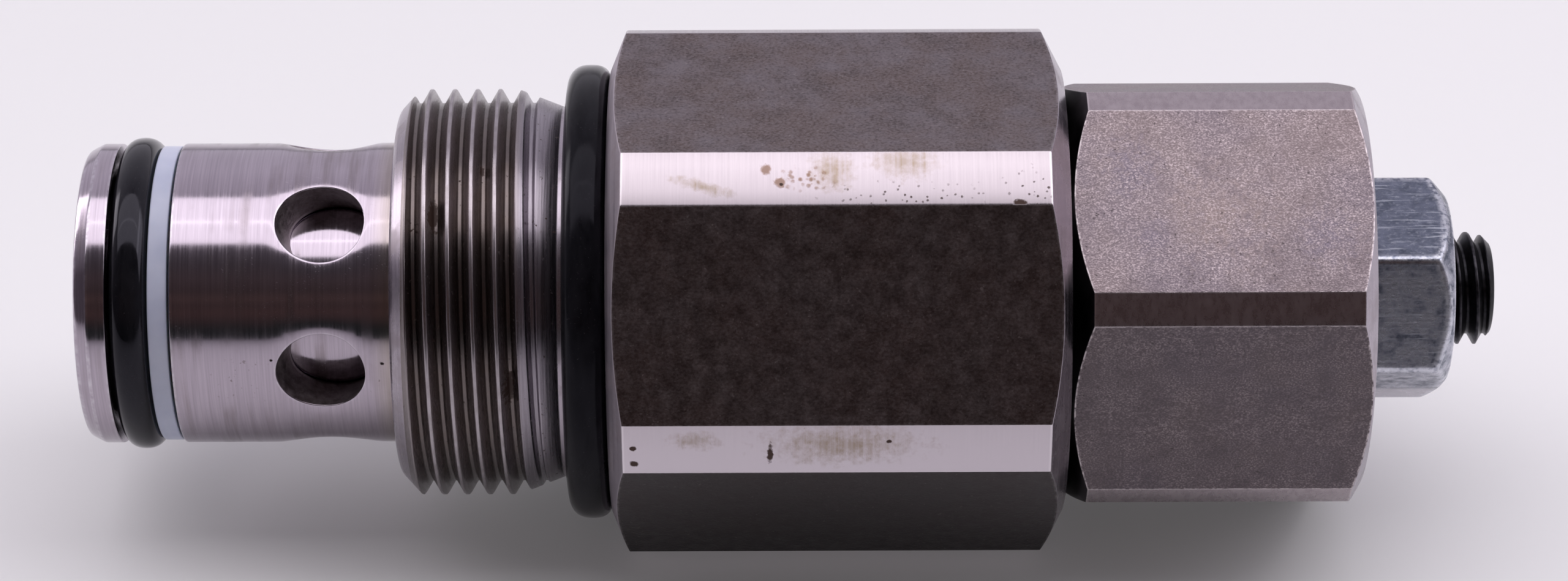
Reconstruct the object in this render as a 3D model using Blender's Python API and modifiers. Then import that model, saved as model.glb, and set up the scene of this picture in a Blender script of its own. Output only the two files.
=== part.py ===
"""Pilot-operated relief cartridge valve with an M36 x 2 body thread.

The valve is modelled about its own axis, which an empty lays along world X.
"Station" is the distance along that axis from the sealing shoulder: negative
towards the nose, positive towards the adjuster. Every piece is drawn about
local Z, so a turned profile is a list of (radius, station) points.
"""
from math import cos, pi, radians, sin

import bmesh
import bpy
from mathutils import Matrix

MM = 0.001
GAP = 0.3 * MM                      # space kept between neighbouring pieces
ROUND_STEPS = 36                    # facets round a large turned piece
SMALL_STEPS = 24                    # facets round a small turned piece
MERGE_DISTANCE = 0.00001
SHARP_ANGLE = 30                    # degrees between facets that counts as an edge

# Ends of the valve
NOSE_FACE = -45.8 * MM
SCREW_END = 77.2 * MM
MIDDLE = (NOSE_FACE + SCREW_END) / 2
BAR_LENGTH = 2 * (SCREW_END - NOSE_FACE)  # of the hexagonal bars that shape the flats

# Sleeve, the long nose that plugs into the manifold
SLEEVE_RADIUS = 13.18 * MM
SLEEVE_TAIL_RADIUS = 12.85 * MM
SLEEVE_TAIL_END = -3.3 * MM
SLEEVE_CHAMFER_RADIUS = 12.5 * MM
SLEEVE_CHAMFER_END = -44.6 * MM
INLET_RADIUS = 7.5 * MM
INLET_CHAMFER = 0.6 * MM
POPPET_BORE_RADIUS = 9.8 * MM
SEAT_START = -32.4 * MM
SEAT_END = -30.9 * MM
NOSE_GROOVE = (-43.0 * MM, -37.5 * MM)
NOSE_GROOVE_RADIUS = 10.2 * MM
TAIL_GROOVE = (-9.5 * MM, -7.3 * MM)
TAIL_GROOVE_RADIUS = 11.1 * MM

# Side ports through the sleeve
PORT_COUNT = 6
PORT_RADIUS = 3.65 * MM
PORT_STATION = -24.8 * MM
PORT_ELEVATION = 3.5                # degrees above -Y
PORT_SLANT = 17.0                   # degrees off the radius: ports run rearward as they go in
PORT_STEPS = 16
DRILL_START = 8.8 * MM              # a drill's ends, near enough as radii
DRILL_END = 16.5 * MM

# Body: thread, seal groove and large hexagon
BODY_FRONT = -18.5 * MM
BODY_BORE_RADIUS = 13.15 * MM
THREAD_CHAMFER_RADIUS = 15.95 * MM
THREAD_START_RADIUS = 17.2 * MM
THREAD_START = -17.35 * MM
THREAD_CREST_RADIUS = 17.88 * MM
THREAD_ROOT_RADIUS = 16.7 * MM
THREAD_PITCH = 2.0 * MM
FIRST_CREST = -15.8 * MM
CREST_COUNT = 5
RUN_OUT = (-6.4 * MM, -4.2 * MM)
SEAL_GROOVE_RADIUS = 16.3 * MM
HEX_FLATS = 42.0 * MM
HEX_CORNER_RADIUS = 23.0 * MM       # the corners are turned down
HEX_FACE_RADIUS = 19.5 * MM
HEX_FRONT_CHAMFER = 1.4 * MM
HEX_REAR_CHAMFER = 37.6 * MM
BODY_REAR = 39.4 * MM
HEX_CORNER_ELEVATION = 0.0          # degrees above -Y

# Passages inside the body
LIP = (-3.0 * MM, -1.0 * MM)
LIP_RADIUS = 5.0 * MM
PILOT_SEAT_BORE = 8.3 * MM
PILOT_SEAT_BORE_END = 10.2 * MM
PILOT_CHAMBER_RADIUS = 9.3 * MM
PILOT_CHAMBER_END = 25.5 * MM
CAP_BORE_RADIUS = 12.3 * MM
CAP_BORE_START = 26.5 * MM

# Main poppet and its spring
POPPET_RADIUS = 9.5 * MM
POPPET_TAIL = -12.0 * MM
POPPET_FACE = -32.34 * MM
POPPET_FACE_RADIUS = 7.0 * MM
POPPET_CONE_END = -30.71 * MM
POPPET_FLOOR = -27.8 * MM
POPPET_HOLLOW_RADIUS = 6.9 * MM
ORIFICE_BORE_RADIUS = 2.4 * MM
ORIFICE_PLUG_RADIUS = 2.1 * MM
ORIFICE_RADIUS = 0.5 * MM
MAIN_SPRING_RADIUS = 5.9 * MM
MAIN_WIRE_RADIUS = 0.6 * MM
MAIN_SPRING_TURNS = 7

# Pilot stage
PILOT_SEAT_RADIUS = 8.0 * MM
PILOT_SEAT_END = 9.9 * MM
PILOT_INLET_RADIUS = 3.0 * MM
PILOT_HOLE_RADIUS = 1.5 * MM
PILOT_INLET_END = 4.4 * MM
PILOT_HOLE_START = 5.4 * MM
PILOT_CONE_START = 8.9 * MM
PILOT_CONE_RADIUS = 2.1 * MM
PILOT_GROOVE = (2.4 * MM, 6.4 * MM)
PISTON_GROOVE_RADIUS = 6.5 * MM     # also the groove in the pilot seat
PILOT_TIP = 7.8 * MM
PILOT_TIP_RADIUS = 0.5 * MM
PILOT_CONE_BASE = 11.4 * MM
PILOT_CONE_BASE_RADIUS = 2.6 * MM
PILOT_COLLAR = (11.6 * MM, 13.4 * MM)
PILOT_COLLAR_RADIUS = 4.2 * MM
STEM_RADIUS = 2.0 * MM
STEM_END = 19.4 * MM
PILOT_SPRING_RADIUS = 3.3 * MM
PILOT_WIRE_RADIUS = 0.9 * MM
PILOT_SPRING_TURNS = 8
CLOSED_PITCH = 2.1                  # pitch of a spring's end turns, in wire radii

# Spring seat, the piston between the pilot spring and the adjusting screw
SPRING_SEAT_RADIUS = 8.0 * MM
SPRING_SEAT_FACE = 42.0 * MM
SPRING_SEAT_BOSS = 38.0 * MM
SPRING_SEAT_GROOVE = (45.6 * MM, 49.6 * MM)
SPRING_SEAT_SHOULDER = 51.0 * MM
SPRING_SEAT_END = 51.9 * MM
SPRING_SEAT_END_RADIUS = 6.5 * MM
EDGE_BREAK = 0.3 * MM

# Cap
CAP_FRONT = BODY_REAR + GAP
CAP_REAR = 65.35 * MM
CAP_FLATS = 35.6 * MM
CAP_CORNER_RADIUS = 19.77 * MM
CAP_FRONT_RADIUS = 17.7 * MM
CAP_FRONT_CHAMFER = 41.4 * MM
CAP_REAR_RADIUS = 17.5 * MM
CAP_REAR_CHAMFER = 64.0 * MM
CAP_CORNER_ELEVATION = 30.8         # degrees above -Y
SPIGOT_RADIUS = 12.0 * MM
SPIGOT_FRONT = 27.0 * MM
SPIGOT_CHAMFER = 0.7 * MM
SPIGOT_GROOVE = (36.0 * MM, 38.6 * MM)
SPIGOT_GROOVE_RADIUS = 10.4 * MM
SPRING_SEAT_BORE = 8.3 * MM
SPRING_SEAT_BORE_END = 54.5 * MM
SCREW_BORE_RADIUS = 5.2 * MM
SCREW_BORE_START = 55.5 * MM

# Lock nut and adjusting screw, M10 x 1.5
NUT_FRONT = CAP_REAR + GAP
NUT_REAR = 73.25 * MM
NUT_FLATS = 17.6 * MM
NUT_CORNER_RADIUS = 10.1 * MM
NUT_FACE_RADIUS = 8.2 * MM
NUT_CHAMFER = 71.65 * MM
NUT_COUNTERSINK = 0.5 * MM
NUT_CORNER_ELEVATION = 50.0         # degrees above -Y
SCREW_RADIUS = 4.9 * MM
SCREW_ROOT_RADIUS = 4.1 * MM
SCREW_POINT_RADIUS = 3.9 * MM
SCREW_FRONT = SPRING_SEAT_END + GAP
SCREW_PITCH = 1.5 * MM
SCREW_CHAMFER = 1.0 * MM
EXPOSED_CRESTS = 2
SOCKET_FLATS = 5.0 * MM
SOCKET_DEPTH = 5.5 * MM

# Seals: (centre radius, centre station, half radial size, half axial size)
NOSE_O_RING = (12.1 * MM, -41.1 * MM, 1.6 * MM, 1.6 * MM)
SLEEVE_O_RING = (12.15 * MM, -8.4 * MM, 0.75 * MM, 0.75 * MM)
BODY_O_RING = (18.22 * MM, -2.15 * MM, 1.68 * MM, 1.8 * MM)
PILOT_SEAT_O_RING = (7.4 * MM, 3.4 * MM, 0.65 * MM, 0.65 * MM)
SPRING_SEAT_O_RING = (7.4 * MM, 46.6 * MM, 0.65 * MM, 0.65 * MM)
CAP_O_RING = (11.35 * MM, 37.3 * MM, 0.75 * MM, 0.75 * MM)
O_RING_SIDES = 8

# Backup rings: (inner radius, outer radius, front station, rear station)
NOSE_BACKUP = (10.5 * MM, 12.95 * MM, -39.2 * MM, -37.8 * MM)
PILOT_SEAT_BACKUP = (6.8 * MM, 8.05 * MM, 4.4 * MM, 6.0 * MM)
SPRING_SEAT_BACKUP = (6.8 * MM, 8.05 * MM, 47.6 * MM, 49.2 * MM)


# Scene ----------------------------------------------------------------------

def empty_scene():
    """Remove every object and make the collections and the valve axis."""
    for old in list(bpy.data.objects):
        bpy.data.objects.remove(old, do_unlink=True)
    parts = bpy.data.collections.new("cartridge_valve")
    cutters = bpy.data.collections.new("cutters")
    for collection in (parts, cutters):
        bpy.context.scene.collection.children.link(collection)
    axis = bpy.data.objects.new("valve_axis", None)
    axis.rotation_euler = (0.0, radians(90), 0.0)
    axis.location = (-MIDDLE, 0.0, 0.0)
    parts.objects.link(axis)
    return parts, cutters, axis


PARTS, CUTTERS, AXIS = empty_scene()


def material(name, color, roughness, metallic):
    """A plain material with one Principled BSDF."""
    made = bpy.data.materials.new(name)
    made.use_nodes = True
    shader = made.node_tree.nodes["Principled BSDF"]
    shader.inputs["Base Color"].default_value = (*color, 1.0)
    shader.inputs["Roughness"].default_value = roughness
    shader.inputs["Metallic"].default_value = metallic
    return made


GROUND_STEEL = material("ground_steel", (0.56, 0.54, 0.54), 0.25, 1.0)
DARK_STEEL = material("dark_steel", (0.12, 0.10, 0.10), 0.45, 0.9)
CAP_STEEL = material("cap_steel", (0.25, 0.21, 0.20), 0.5, 0.9)
ZINC = material("zinc_plate", (0.48, 0.50, 0.54), 0.35, 1.0)
BLACK_STEEL = material("black_steel", (0.02, 0.02, 0.022), 0.4, 0.8)
SPRING_STEEL = material("spring_steel", (0.20, 0.19, 0.18), 0.35, 1.0)
RUBBER = material("black_rubber", (0.012, 0.012, 0.013), 0.35, 0.0)
PTFE = material("white_ptfe", (0.78, 0.80, 0.84), 0.4, 0.0)


# Shapes ---------------------------------------------------------------------

def local_angle(elevation):
    """Angle about local Z of a direction this many degrees above world -Y."""
    return radians(-90.0 - elevation)


def add_object(name, mesh, finish, collection=PARTS):
    """Link a mesh as an object on the valve axis."""
    made = bpy.data.objects.new(name, mesh)
    mesh.materials.append(finish)
    made.parent = AXIS
    collection.objects.link(made)
    return made


def turned(name, finish, profile, steps=ROUND_STEPS):
    """Turn a profile of (radius, station) points about the valve axis.

    The points run down the outer side. A profile that starts and ends on the
    axis is solid; any other closes on itself and makes a ring.
    """
    on_axis = profile[0][0] == 0.0 and profile[-1][0] == 0.0
    count = len(profile)
    edges = [(i, i + 1) for i in range(count - 1)]
    if not on_axis:
        edges.append((count - 1, 0))
    mesh = bpy.data.meshes.new(name)
    mesh.from_pydata([(r, 0.0, s) for r, s in profile], edges, [])
    made = add_object(name, mesh, finish)
    screw = made.modifiers.new("turn", "SCREW")
    screw.steps = steps
    screw.render_steps = steps
    screw.use_merge_vertices = True
    screw.merge_threshold = MERGE_DISTANCE
    made.data = baked(made)
    made.modifiers.clear()
    return made


def baked(source):
    """The source's evaluated mesh, shaded smooth between its sharp edges."""
    depsgraph = bpy.context.evaluated_depsgraph_get()
    mesh = bpy.data.meshes.new_from_object(source.evaluated_get(depsgraph))
    mesh.name = source.name
    mesh.shade_smooth()
    mesh.set_sharp_from_angle(angle=radians(SHARP_ANGLE))
    return mesh


def cutter(name, fill):
    """A cutting tool: an object that Booleans use and the build leaves out."""
    mesh = bpy.data.meshes.new(name)
    tool = bmesh.new()
    fill(tool)
    tool.to_mesh(mesh)
    tool.free()
    made = add_object(name, mesh, GROUND_STEEL, CUTTERS)
    made.hide_render = True
    made.display_type = "WIRE"
    return made


def cut(piece, tool):
    """Take the tool away from the piece."""
    add_boolean(piece, tool, "DIFFERENCE")


def keep_inside(piece, tool):
    """Keep the part of the piece that lies inside the tool."""
    add_boolean(piece, tool, "INTERSECT")


def add_boolean(piece, tool, operation):
    """Add a live Boolean to a piece."""
    boolean = piece.modifiers.new(tool.name, "BOOLEAN")
    boolean.operation = operation
    boolean.solver = "EXACT"
    boolean.object = tool


def hexagon(tool, across_flats, depth, middle, turn=0.0):
    """Fill a tool with a hexagonal bar about the valve axis, a corner at the turn."""
    corner_radius = across_flats / 2 / cos(radians(30))
    from_cone_start = radians(-90)      # a cone's first corner lies on local Y
    bmesh.ops.create_cone(
        tool, cap_ends=True, segments=6, radius1=corner_radius, radius2=corner_radius, depth=depth,
        matrix=Matrix.Translation((0.0, 0.0, middle)) @ Matrix.Rotation(turn + from_cone_start, 4, "Z"))


def mill_hexagon(piece, across_flats, corner_elevation):
    """Mill six flats on a turned piece: keep what lies inside a hexagonal bar."""

    def bar(tool):
        hexagon(tool, across_flats, BAR_LENGTH, MIDDLE, local_angle(corner_elevation))

    keep_inside(piece, cutter(piece.name + "_flats", bar))


def ring_profile(centre_radius, centre_station, half_radial, half_axial):
    """An O-ring's section, from its highest station down the outer side."""
    angles = [pi / 2 - 2 * pi * i / O_RING_SIDES for i in range(O_RING_SIDES)]
    return [(centre_radius + half_radial * cos(a), centre_station + half_axial * sin(a)) for a in angles]


def o_ring(name, section, steps=ROUND_STEPS):
    """A rubber ring of round or slightly flattened section."""
    return turned(name, RUBBER, ring_profile(*section), steps)


def backup_ring(name, size, steps=ROUND_STEPS):
    """A square-cut PTFE ring that backs an O-ring."""
    inner, outer, front, rear = size
    profile = [(outer, rear), (outer, front), (inner, front), (inner, rear)]
    return turned(name, PTFE, profile, steps)


def ridges(first_crest, count, pitch, crest_radius, root_radius):
    """V ridges from the rear crest forward to the first, with a root after each."""
    points = []
    for number in reversed(range(count)):
        crest = first_crest + number * pitch
        points.append((crest_radius, crest))
        points.append((root_radius, crest - pitch / 2))
    return points


def coil(name, mean_radius, wire_radius, front, rear, turns, points_per_turn):
    """A compression spring between two faces, its end turns closed up."""
    first = front + GAP + wire_radius
    last = rear - GAP - wire_radius
    dead_pitch = CLOSED_PITCH * wire_radius
    live_pitch = (last - first - 2 * dead_pitch) / (turns - 2)
    count = turns * points_per_turn + 1

    def height(turn):
        dead_front = min(turn, 1.0) * dead_pitch
        live = max(0.0, min(turn, turns - 1.0) - 1.0) * live_pitch
        dead_rear = max(0.0, turn - (turns - 1.0)) * dead_pitch
        return first + dead_front + live + dead_rear

    curve = bpy.data.curves.new(name, "CURVE")
    curve.dimensions = "3D"
    curve.bevel_depth = wire_radius
    curve.bevel_resolution = 2
    curve.use_fill_caps = True
    wire = curve.splines.new("POLY")
    wire.points.add(count - 1)
    for number in range(count):
        turn = number / points_per_turn
        angle = 2 * pi * turn
        place = (mean_radius * cos(angle), mean_radius * sin(angle), height(turn))
        wire.points[number].co = (*place, 1.0)
    return add_object(name, curve, SPRING_STEEL)


# Nose -----------------------------------------------------------------------

def make_sleeve():
    """Ported sleeve: nose chamfer, seal groove, shoulder and sealed tail."""
    outer = [
        (SLEEVE_TAIL_RADIUS, SLEEVE_TAIL_END),
        (SLEEVE_TAIL_RADIUS, TAIL_GROOVE[1]),
        (TAIL_GROOVE_RADIUS, TAIL_GROOVE[1]),
        (TAIL_GROOVE_RADIUS, TAIL_GROOVE[0]),
        (SLEEVE_TAIL_RADIUS, TAIL_GROOVE[0]),
        (SLEEVE_TAIL_RADIUS, BODY_FRONT - GAP),
        (SLEEVE_RADIUS, BODY_FRONT - GAP),
        (SLEEVE_RADIUS, NOSE_GROOVE[1]),
        (NOSE_GROOVE_RADIUS, NOSE_GROOVE[1]),
        (NOSE_GROOVE_RADIUS, NOSE_GROOVE[0]),
        (SLEEVE_RADIUS, NOSE_GROOVE[0]),
        (SLEEVE_RADIUS, SLEEVE_CHAMFER_END),
        (SLEEVE_CHAMFER_RADIUS, NOSE_FACE),
    ]
    inner = [
        (INLET_RADIUS + INLET_CHAMFER, NOSE_FACE),
        (INLET_RADIUS, NOSE_FACE + INLET_CHAMFER),
        (INLET_RADIUS, SEAT_START),
        (POPPET_BORE_RADIUS, SEAT_END),
        (POPPET_BORE_RADIUS, SLEEVE_TAIL_END),
    ]
    sleeve = turned("sleeve", GROUND_STEEL, outer + inner)
    cut(sleeve, cutter("side_ports", drill_ports))


def drill_ports(tool):
    """Six slanted drills that stop inside the poppet bore."""
    for port in range(PORT_COUNT):
        turn = local_angle(PORT_ELEVATION + 360.0 / PORT_COUNT * port)
        place = (Matrix.Rotation(turn, 4, "Z")
                 @ Matrix.Translation((SLEEVE_RADIUS, 0.0, PORT_STATION))
                 @ Matrix.Rotation(radians(90 + PORT_SLANT), 4, "Y")
                 @ Matrix.Translation((0.0, 0.0, (DRILL_START + DRILL_END) / 2 - SLEEVE_RADIUS)))
        bmesh.ops.create_cone(
            tool, cap_ends=True, segments=PORT_STEPS, radius1=PORT_RADIUS,
            radius2=PORT_RADIUS, depth=DRILL_END - DRILL_START, matrix=place)


def make_main_poppet():
    """Hollow main poppet with a conical nose and a bore for its orifice plug."""
    turned("main_poppet", GROUND_STEEL, [
        (POPPET_RADIUS, POPPET_TAIL),
        (POPPET_RADIUS, POPPET_CONE_END),
        (POPPET_FACE_RADIUS, POPPET_FACE),
        (ORIFICE_BORE_RADIUS, POPPET_FACE),
        (ORIFICE_BORE_RADIUS, POPPET_FLOOR),
        (POPPET_HOLLOW_RADIUS, POPPET_FLOOR),
        (POPPET_HOLLOW_RADIUS, POPPET_TAIL),
    ])


def make_damping_orifice():
    """Plug with a fine bore that feeds the chamber behind the main poppet."""
    front = POPPET_FACE + GAP
    rear = POPPET_FLOOR - GAP
    turned("damping_orifice", GROUND_STEEL, [
        (ORIFICE_PLUG_RADIUS, rear),
        (ORIFICE_PLUG_RADIUS, front),
        (ORIFICE_RADIUS, front),
        (ORIFICE_RADIUS, rear),
    ], SMALL_STEPS)


# Body -----------------------------------------------------------------------

def make_body():
    """Threaded body with its seal groove, large hexagon and stepped bore."""
    outer = [
        (HEX_FACE_RADIUS, BODY_REAR),
        (HEX_CORNER_RADIUS, HEX_REAR_CHAMFER),
        (HEX_CORNER_RADIUS, HEX_FRONT_CHAMFER),
        (HEX_FACE_RADIUS, 0.0),
        (SEAL_GROOVE_RADIUS, 0.0),
        (SEAL_GROOVE_RADIUS, RUN_OUT[1]),
        (THREAD_START_RADIUS, RUN_OUT[0]),
        (THREAD_ROOT_RADIUS, FIRST_CREST + (CREST_COUNT - 0.5) * THREAD_PITCH),
    ]
    outer += ridges(FIRST_CREST, CREST_COUNT, THREAD_PITCH, THREAD_CREST_RADIUS, THREAD_ROOT_RADIUS)
    outer += [
        (THREAD_START_RADIUS, THREAD_START),
        (THREAD_CHAMFER_RADIUS, BODY_FRONT),
    ]
    inner = [
        (BODY_BORE_RADIUS, BODY_FRONT),
        (BODY_BORE_RADIUS, LIP[0]),
        (LIP_RADIUS, LIP[0]),
        (LIP_RADIUS, LIP[1]),
        (PILOT_SEAT_BORE, LIP[1]),
        (PILOT_SEAT_BORE, PILOT_SEAT_BORE_END),
        (PILOT_CHAMBER_RADIUS, PILOT_SEAT_BORE_END),
        (PILOT_CHAMBER_RADIUS, PILOT_CHAMBER_END),
        (CAP_BORE_RADIUS, CAP_BORE_START),
        (CAP_BORE_RADIUS, BODY_REAR),
    ]
    body = turned("body", DARK_STEEL, outer + inner)
    mill_hexagon(body, HEX_FLATS, HEX_CORNER_ELEVATION)


# Pilot stage ----------------------------------------------------------------

def make_pilot_seat():
    """Pilot seat insert with its seal groove, feed bore and conical seat."""
    front = LIP[1] + GAP
    outer = [
        (PILOT_SEAT_RADIUS, PILOT_SEAT_END),
        (PILOT_SEAT_RADIUS, PILOT_GROOVE[1]),
        (PISTON_GROOVE_RADIUS, PILOT_GROOVE[1]),
        (PISTON_GROOVE_RADIUS, PILOT_GROOVE[0]),
        (PILOT_SEAT_RADIUS, PILOT_GROOVE[0]),
        (PILOT_SEAT_RADIUS, front),
    ]
    inner = [
        (PILOT_INLET_RADIUS, front),
        (PILOT_INLET_RADIUS, PILOT_INLET_END),
        (PILOT_HOLE_RADIUS, PILOT_HOLE_START),
        (PILOT_HOLE_RADIUS, PILOT_CONE_START),
        (PILOT_CONE_RADIUS, PILOT_SEAT_END),
    ]
    turned("pilot_seat", GROUND_STEEL, outer + inner, SMALL_STEPS)


def make_pilot_poppet():
    """Pilot poppet: pointed cone, spring collar and guide stem."""
    turned("pilot_poppet", GROUND_STEEL, [
        (0.0, STEM_END),
        (STEM_RADIUS - EDGE_BREAK, STEM_END),
        (STEM_RADIUS, STEM_END - EDGE_BREAK),
        (STEM_RADIUS, PILOT_COLLAR[1]),
        (PILOT_COLLAR_RADIUS, PILOT_COLLAR[1]),
        (PILOT_COLLAR_RADIUS, PILOT_COLLAR[0]),
        (PILOT_CONE_BASE_RADIUS, PILOT_CONE_BASE),
        (PILOT_TIP_RADIUS, PILOT_TIP),
        (0.0, PILOT_TIP),
    ], SMALL_STEPS)


def make_spring_seat():
    """Sealed piston that the adjusting screw pushes against the pilot spring."""
    turned("spring_seat", GROUND_STEEL, [
        (0.0, SPRING_SEAT_END),
        (SPRING_SEAT_END_RADIUS, SPRING_SEAT_END),
        (SPRING_SEAT_RADIUS, SPRING_SEAT_SHOULDER),
        (SPRING_SEAT_RADIUS, SPRING_SEAT_GROOVE[1]),
        (PISTON_GROOVE_RADIUS, SPRING_SEAT_GROOVE[1]),
        (PISTON_GROOVE_RADIUS, SPRING_SEAT_GROOVE[0]),
        (SPRING_SEAT_RADIUS, SPRING_SEAT_GROOVE[0]),
        (SPRING_SEAT_RADIUS, SPRING_SEAT_FACE),
        (STEM_RADIUS, SPRING_SEAT_FACE),
        (STEM_RADIUS, SPRING_SEAT_BOSS + EDGE_BREAK),
        (STEM_RADIUS - EDGE_BREAK, SPRING_SEAT_BOSS),
        (0.0, SPRING_SEAT_BOSS),
    ], SMALL_STEPS)


# Cap and adjuster -----------------------------------------------------------

def make_cap():
    """Hexagonal cap whose spigot closes the pilot chamber."""
    outer = [
        (CAP_REAR_RADIUS, CAP_REAR),
        (CAP_CORNER_RADIUS, CAP_REAR_CHAMFER),
        (CAP_CORNER_RADIUS, CAP_FRONT_CHAMFER),
        (CAP_FRONT_RADIUS, CAP_FRONT),
        (SPIGOT_RADIUS, CAP_FRONT),
        (SPIGOT_RADIUS, SPIGOT_GROOVE[1]),
        (SPIGOT_GROOVE_RADIUS, SPIGOT_GROOVE[1]),
        (SPIGOT_GROOVE_RADIUS, SPIGOT_GROOVE[0]),
        (SPIGOT_RADIUS, SPIGOT_GROOVE[0]),
        (SPIGOT_RADIUS, SPIGOT_FRONT + SPIGOT_CHAMFER),
        (SPIGOT_RADIUS - SPIGOT_CHAMFER, SPIGOT_FRONT),
    ]
    inner = [
        (SPRING_SEAT_BORE, SPIGOT_FRONT),
        (SPRING_SEAT_BORE, SPRING_SEAT_BORE_END),
        (SCREW_BORE_RADIUS, SCREW_BORE_START),
        (SCREW_BORE_RADIUS, CAP_REAR),
    ]
    cap = turned("cap", CAP_STEEL, outer + inner)
    mill_hexagon(cap, CAP_FLATS, CAP_CORNER_ELEVATION)


def make_lock_nut():
    """Lock nut, chamfered on its outer end only."""
    nut = turned("lock_nut", ZINC, [
        (NUT_FACE_RADIUS, NUT_REAR),
        (NUT_CORNER_RADIUS, NUT_CHAMFER),
        (NUT_CORNER_RADIUS, NUT_FRONT),
        (SCREW_BORE_RADIUS, NUT_FRONT),
        (SCREW_BORE_RADIUS, NUT_REAR - NUT_COUNTERSINK),
        (SCREW_BORE_RADIUS + NUT_COUNTERSINK, NUT_REAR),
    ])
    mill_hexagon(nut, NUT_FLATS, NUT_CORNER_ELEVATION)


def make_adjusting_screw():
    """Set screw with a hexagon socket; only its exposed end shows ridges."""
    last_crest = SCREW_END - SCREW_CHAMFER - SCREW_PITCH / 2
    first_crest = last_crest - (EXPOSED_CRESTS - 1) * SCREW_PITCH
    outer = [
        (0.0, SCREW_END),
        (SCREW_POINT_RADIUS, SCREW_END),
        (SCREW_ROOT_RADIUS, SCREW_END - SCREW_CHAMFER + SCREW_PITCH / 6),
    ]
    outer += ridges(first_crest, EXPOSED_CRESTS, SCREW_PITCH, SCREW_RADIUS, SCREW_ROOT_RADIUS)
    outer += [
        (SCREW_RADIUS, first_crest - SCREW_PITCH),
        (SCREW_RADIUS, SCREW_FRONT + SCREW_CHAMFER),
        (SCREW_POINT_RADIUS, SCREW_FRONT),
        (0.0, SCREW_FRONT),
    ]
    screw = turned("adjusting_screw", BLACK_STEEL, outer, SMALL_STEPS)
    cut(screw, cutter("hex_socket", broach_socket))


def broach_socket(tool):
    """Hexagonal broach that overruns the screw's end."""
    overrun = MM
    hexagon(tool, SOCKET_FLATS, SOCKET_DEPTH + overrun, SCREW_END + (overrun - SOCKET_DEPTH) / 2)


make_sleeve()
o_ring("nose_o_ring", NOSE_O_RING)
backup_ring("nose_backup_ring", NOSE_BACKUP)
o_ring("sleeve_o_ring", SLEEVE_O_RING)
make_main_poppet()
make_damping_orifice()
coil("main_spring", MAIN_SPRING_RADIUS, MAIN_WIRE_RADIUS, POPPET_FLOOR, LIP[0], MAIN_SPRING_TURNS, 12)

make_body()
o_ring("body_o_ring", BODY_O_RING)

make_pilot_seat()
o_ring("pilot_seat_o_ring", PILOT_SEAT_O_RING, SMALL_STEPS)
backup_ring("pilot_seat_backup_ring", PILOT_SEAT_BACKUP, SMALL_STEPS)
make_pilot_poppet()
coil("pilot_spring", PILOT_SPRING_RADIUS, PILOT_WIRE_RADIUS,
     PILOT_COLLAR[1], SPRING_SEAT_FACE, PILOT_SPRING_TURNS, 10)

make_spring_seat()
o_ring("spring_seat_o_ring", SPRING_SEAT_O_RING, SMALL_STEPS)
backup_ring("spring_seat_backup_ring", SPRING_SEAT_BACKUP, SMALL_STEPS)

make_cap()
o_ring("cap_o_ring", CAP_O_RING)
make_lock_nut()
make_adjusting_screw()
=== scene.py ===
from math import acos, atan2, cos, pi, radians, sin, sqrt, tan

import bmesh
import bpy
import numpy as np
from mathutils import Matrix, Vector


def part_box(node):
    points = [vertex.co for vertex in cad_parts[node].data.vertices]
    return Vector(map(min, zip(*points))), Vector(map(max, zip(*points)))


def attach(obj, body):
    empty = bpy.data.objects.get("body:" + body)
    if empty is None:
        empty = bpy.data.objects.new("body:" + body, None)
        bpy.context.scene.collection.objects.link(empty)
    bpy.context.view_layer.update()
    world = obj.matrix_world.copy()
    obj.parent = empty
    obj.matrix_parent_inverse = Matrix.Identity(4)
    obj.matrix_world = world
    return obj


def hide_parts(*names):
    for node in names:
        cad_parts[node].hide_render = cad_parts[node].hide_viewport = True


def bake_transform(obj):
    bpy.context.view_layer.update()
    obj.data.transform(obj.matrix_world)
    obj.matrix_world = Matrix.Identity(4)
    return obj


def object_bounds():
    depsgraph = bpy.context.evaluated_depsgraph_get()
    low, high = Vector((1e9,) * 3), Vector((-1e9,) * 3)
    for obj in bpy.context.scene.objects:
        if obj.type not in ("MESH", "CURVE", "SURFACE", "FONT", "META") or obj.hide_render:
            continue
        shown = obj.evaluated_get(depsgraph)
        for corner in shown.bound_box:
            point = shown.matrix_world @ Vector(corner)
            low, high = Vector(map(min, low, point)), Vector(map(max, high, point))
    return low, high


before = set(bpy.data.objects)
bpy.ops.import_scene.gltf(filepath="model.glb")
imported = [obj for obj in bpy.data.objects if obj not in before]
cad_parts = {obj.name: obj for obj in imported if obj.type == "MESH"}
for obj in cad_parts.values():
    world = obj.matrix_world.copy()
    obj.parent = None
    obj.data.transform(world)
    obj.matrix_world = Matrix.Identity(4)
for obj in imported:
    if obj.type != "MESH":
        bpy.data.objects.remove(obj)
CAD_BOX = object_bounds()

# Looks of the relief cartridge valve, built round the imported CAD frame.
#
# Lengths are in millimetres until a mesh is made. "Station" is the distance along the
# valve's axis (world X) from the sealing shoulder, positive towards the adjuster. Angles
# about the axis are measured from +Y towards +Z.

MM = 0.001
TURN = 2 * pi
BODY_REAR = 39.4  # the body's rear face, behind the shoulder
SHOULDER_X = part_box("body")[1].x - BODY_REAR * MM


def ends(node):
    """A CAD node's front and rear stations."""
    low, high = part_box(node)
    return (low.x - SHOULDER_X) / MM, (high.x - SHOULDER_X) / MM


def facing(elevation):
    """Angle about the axis of a direction this many degrees above -Y."""
    return radians(180.0 - elevation)


# --- Mesh building

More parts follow.
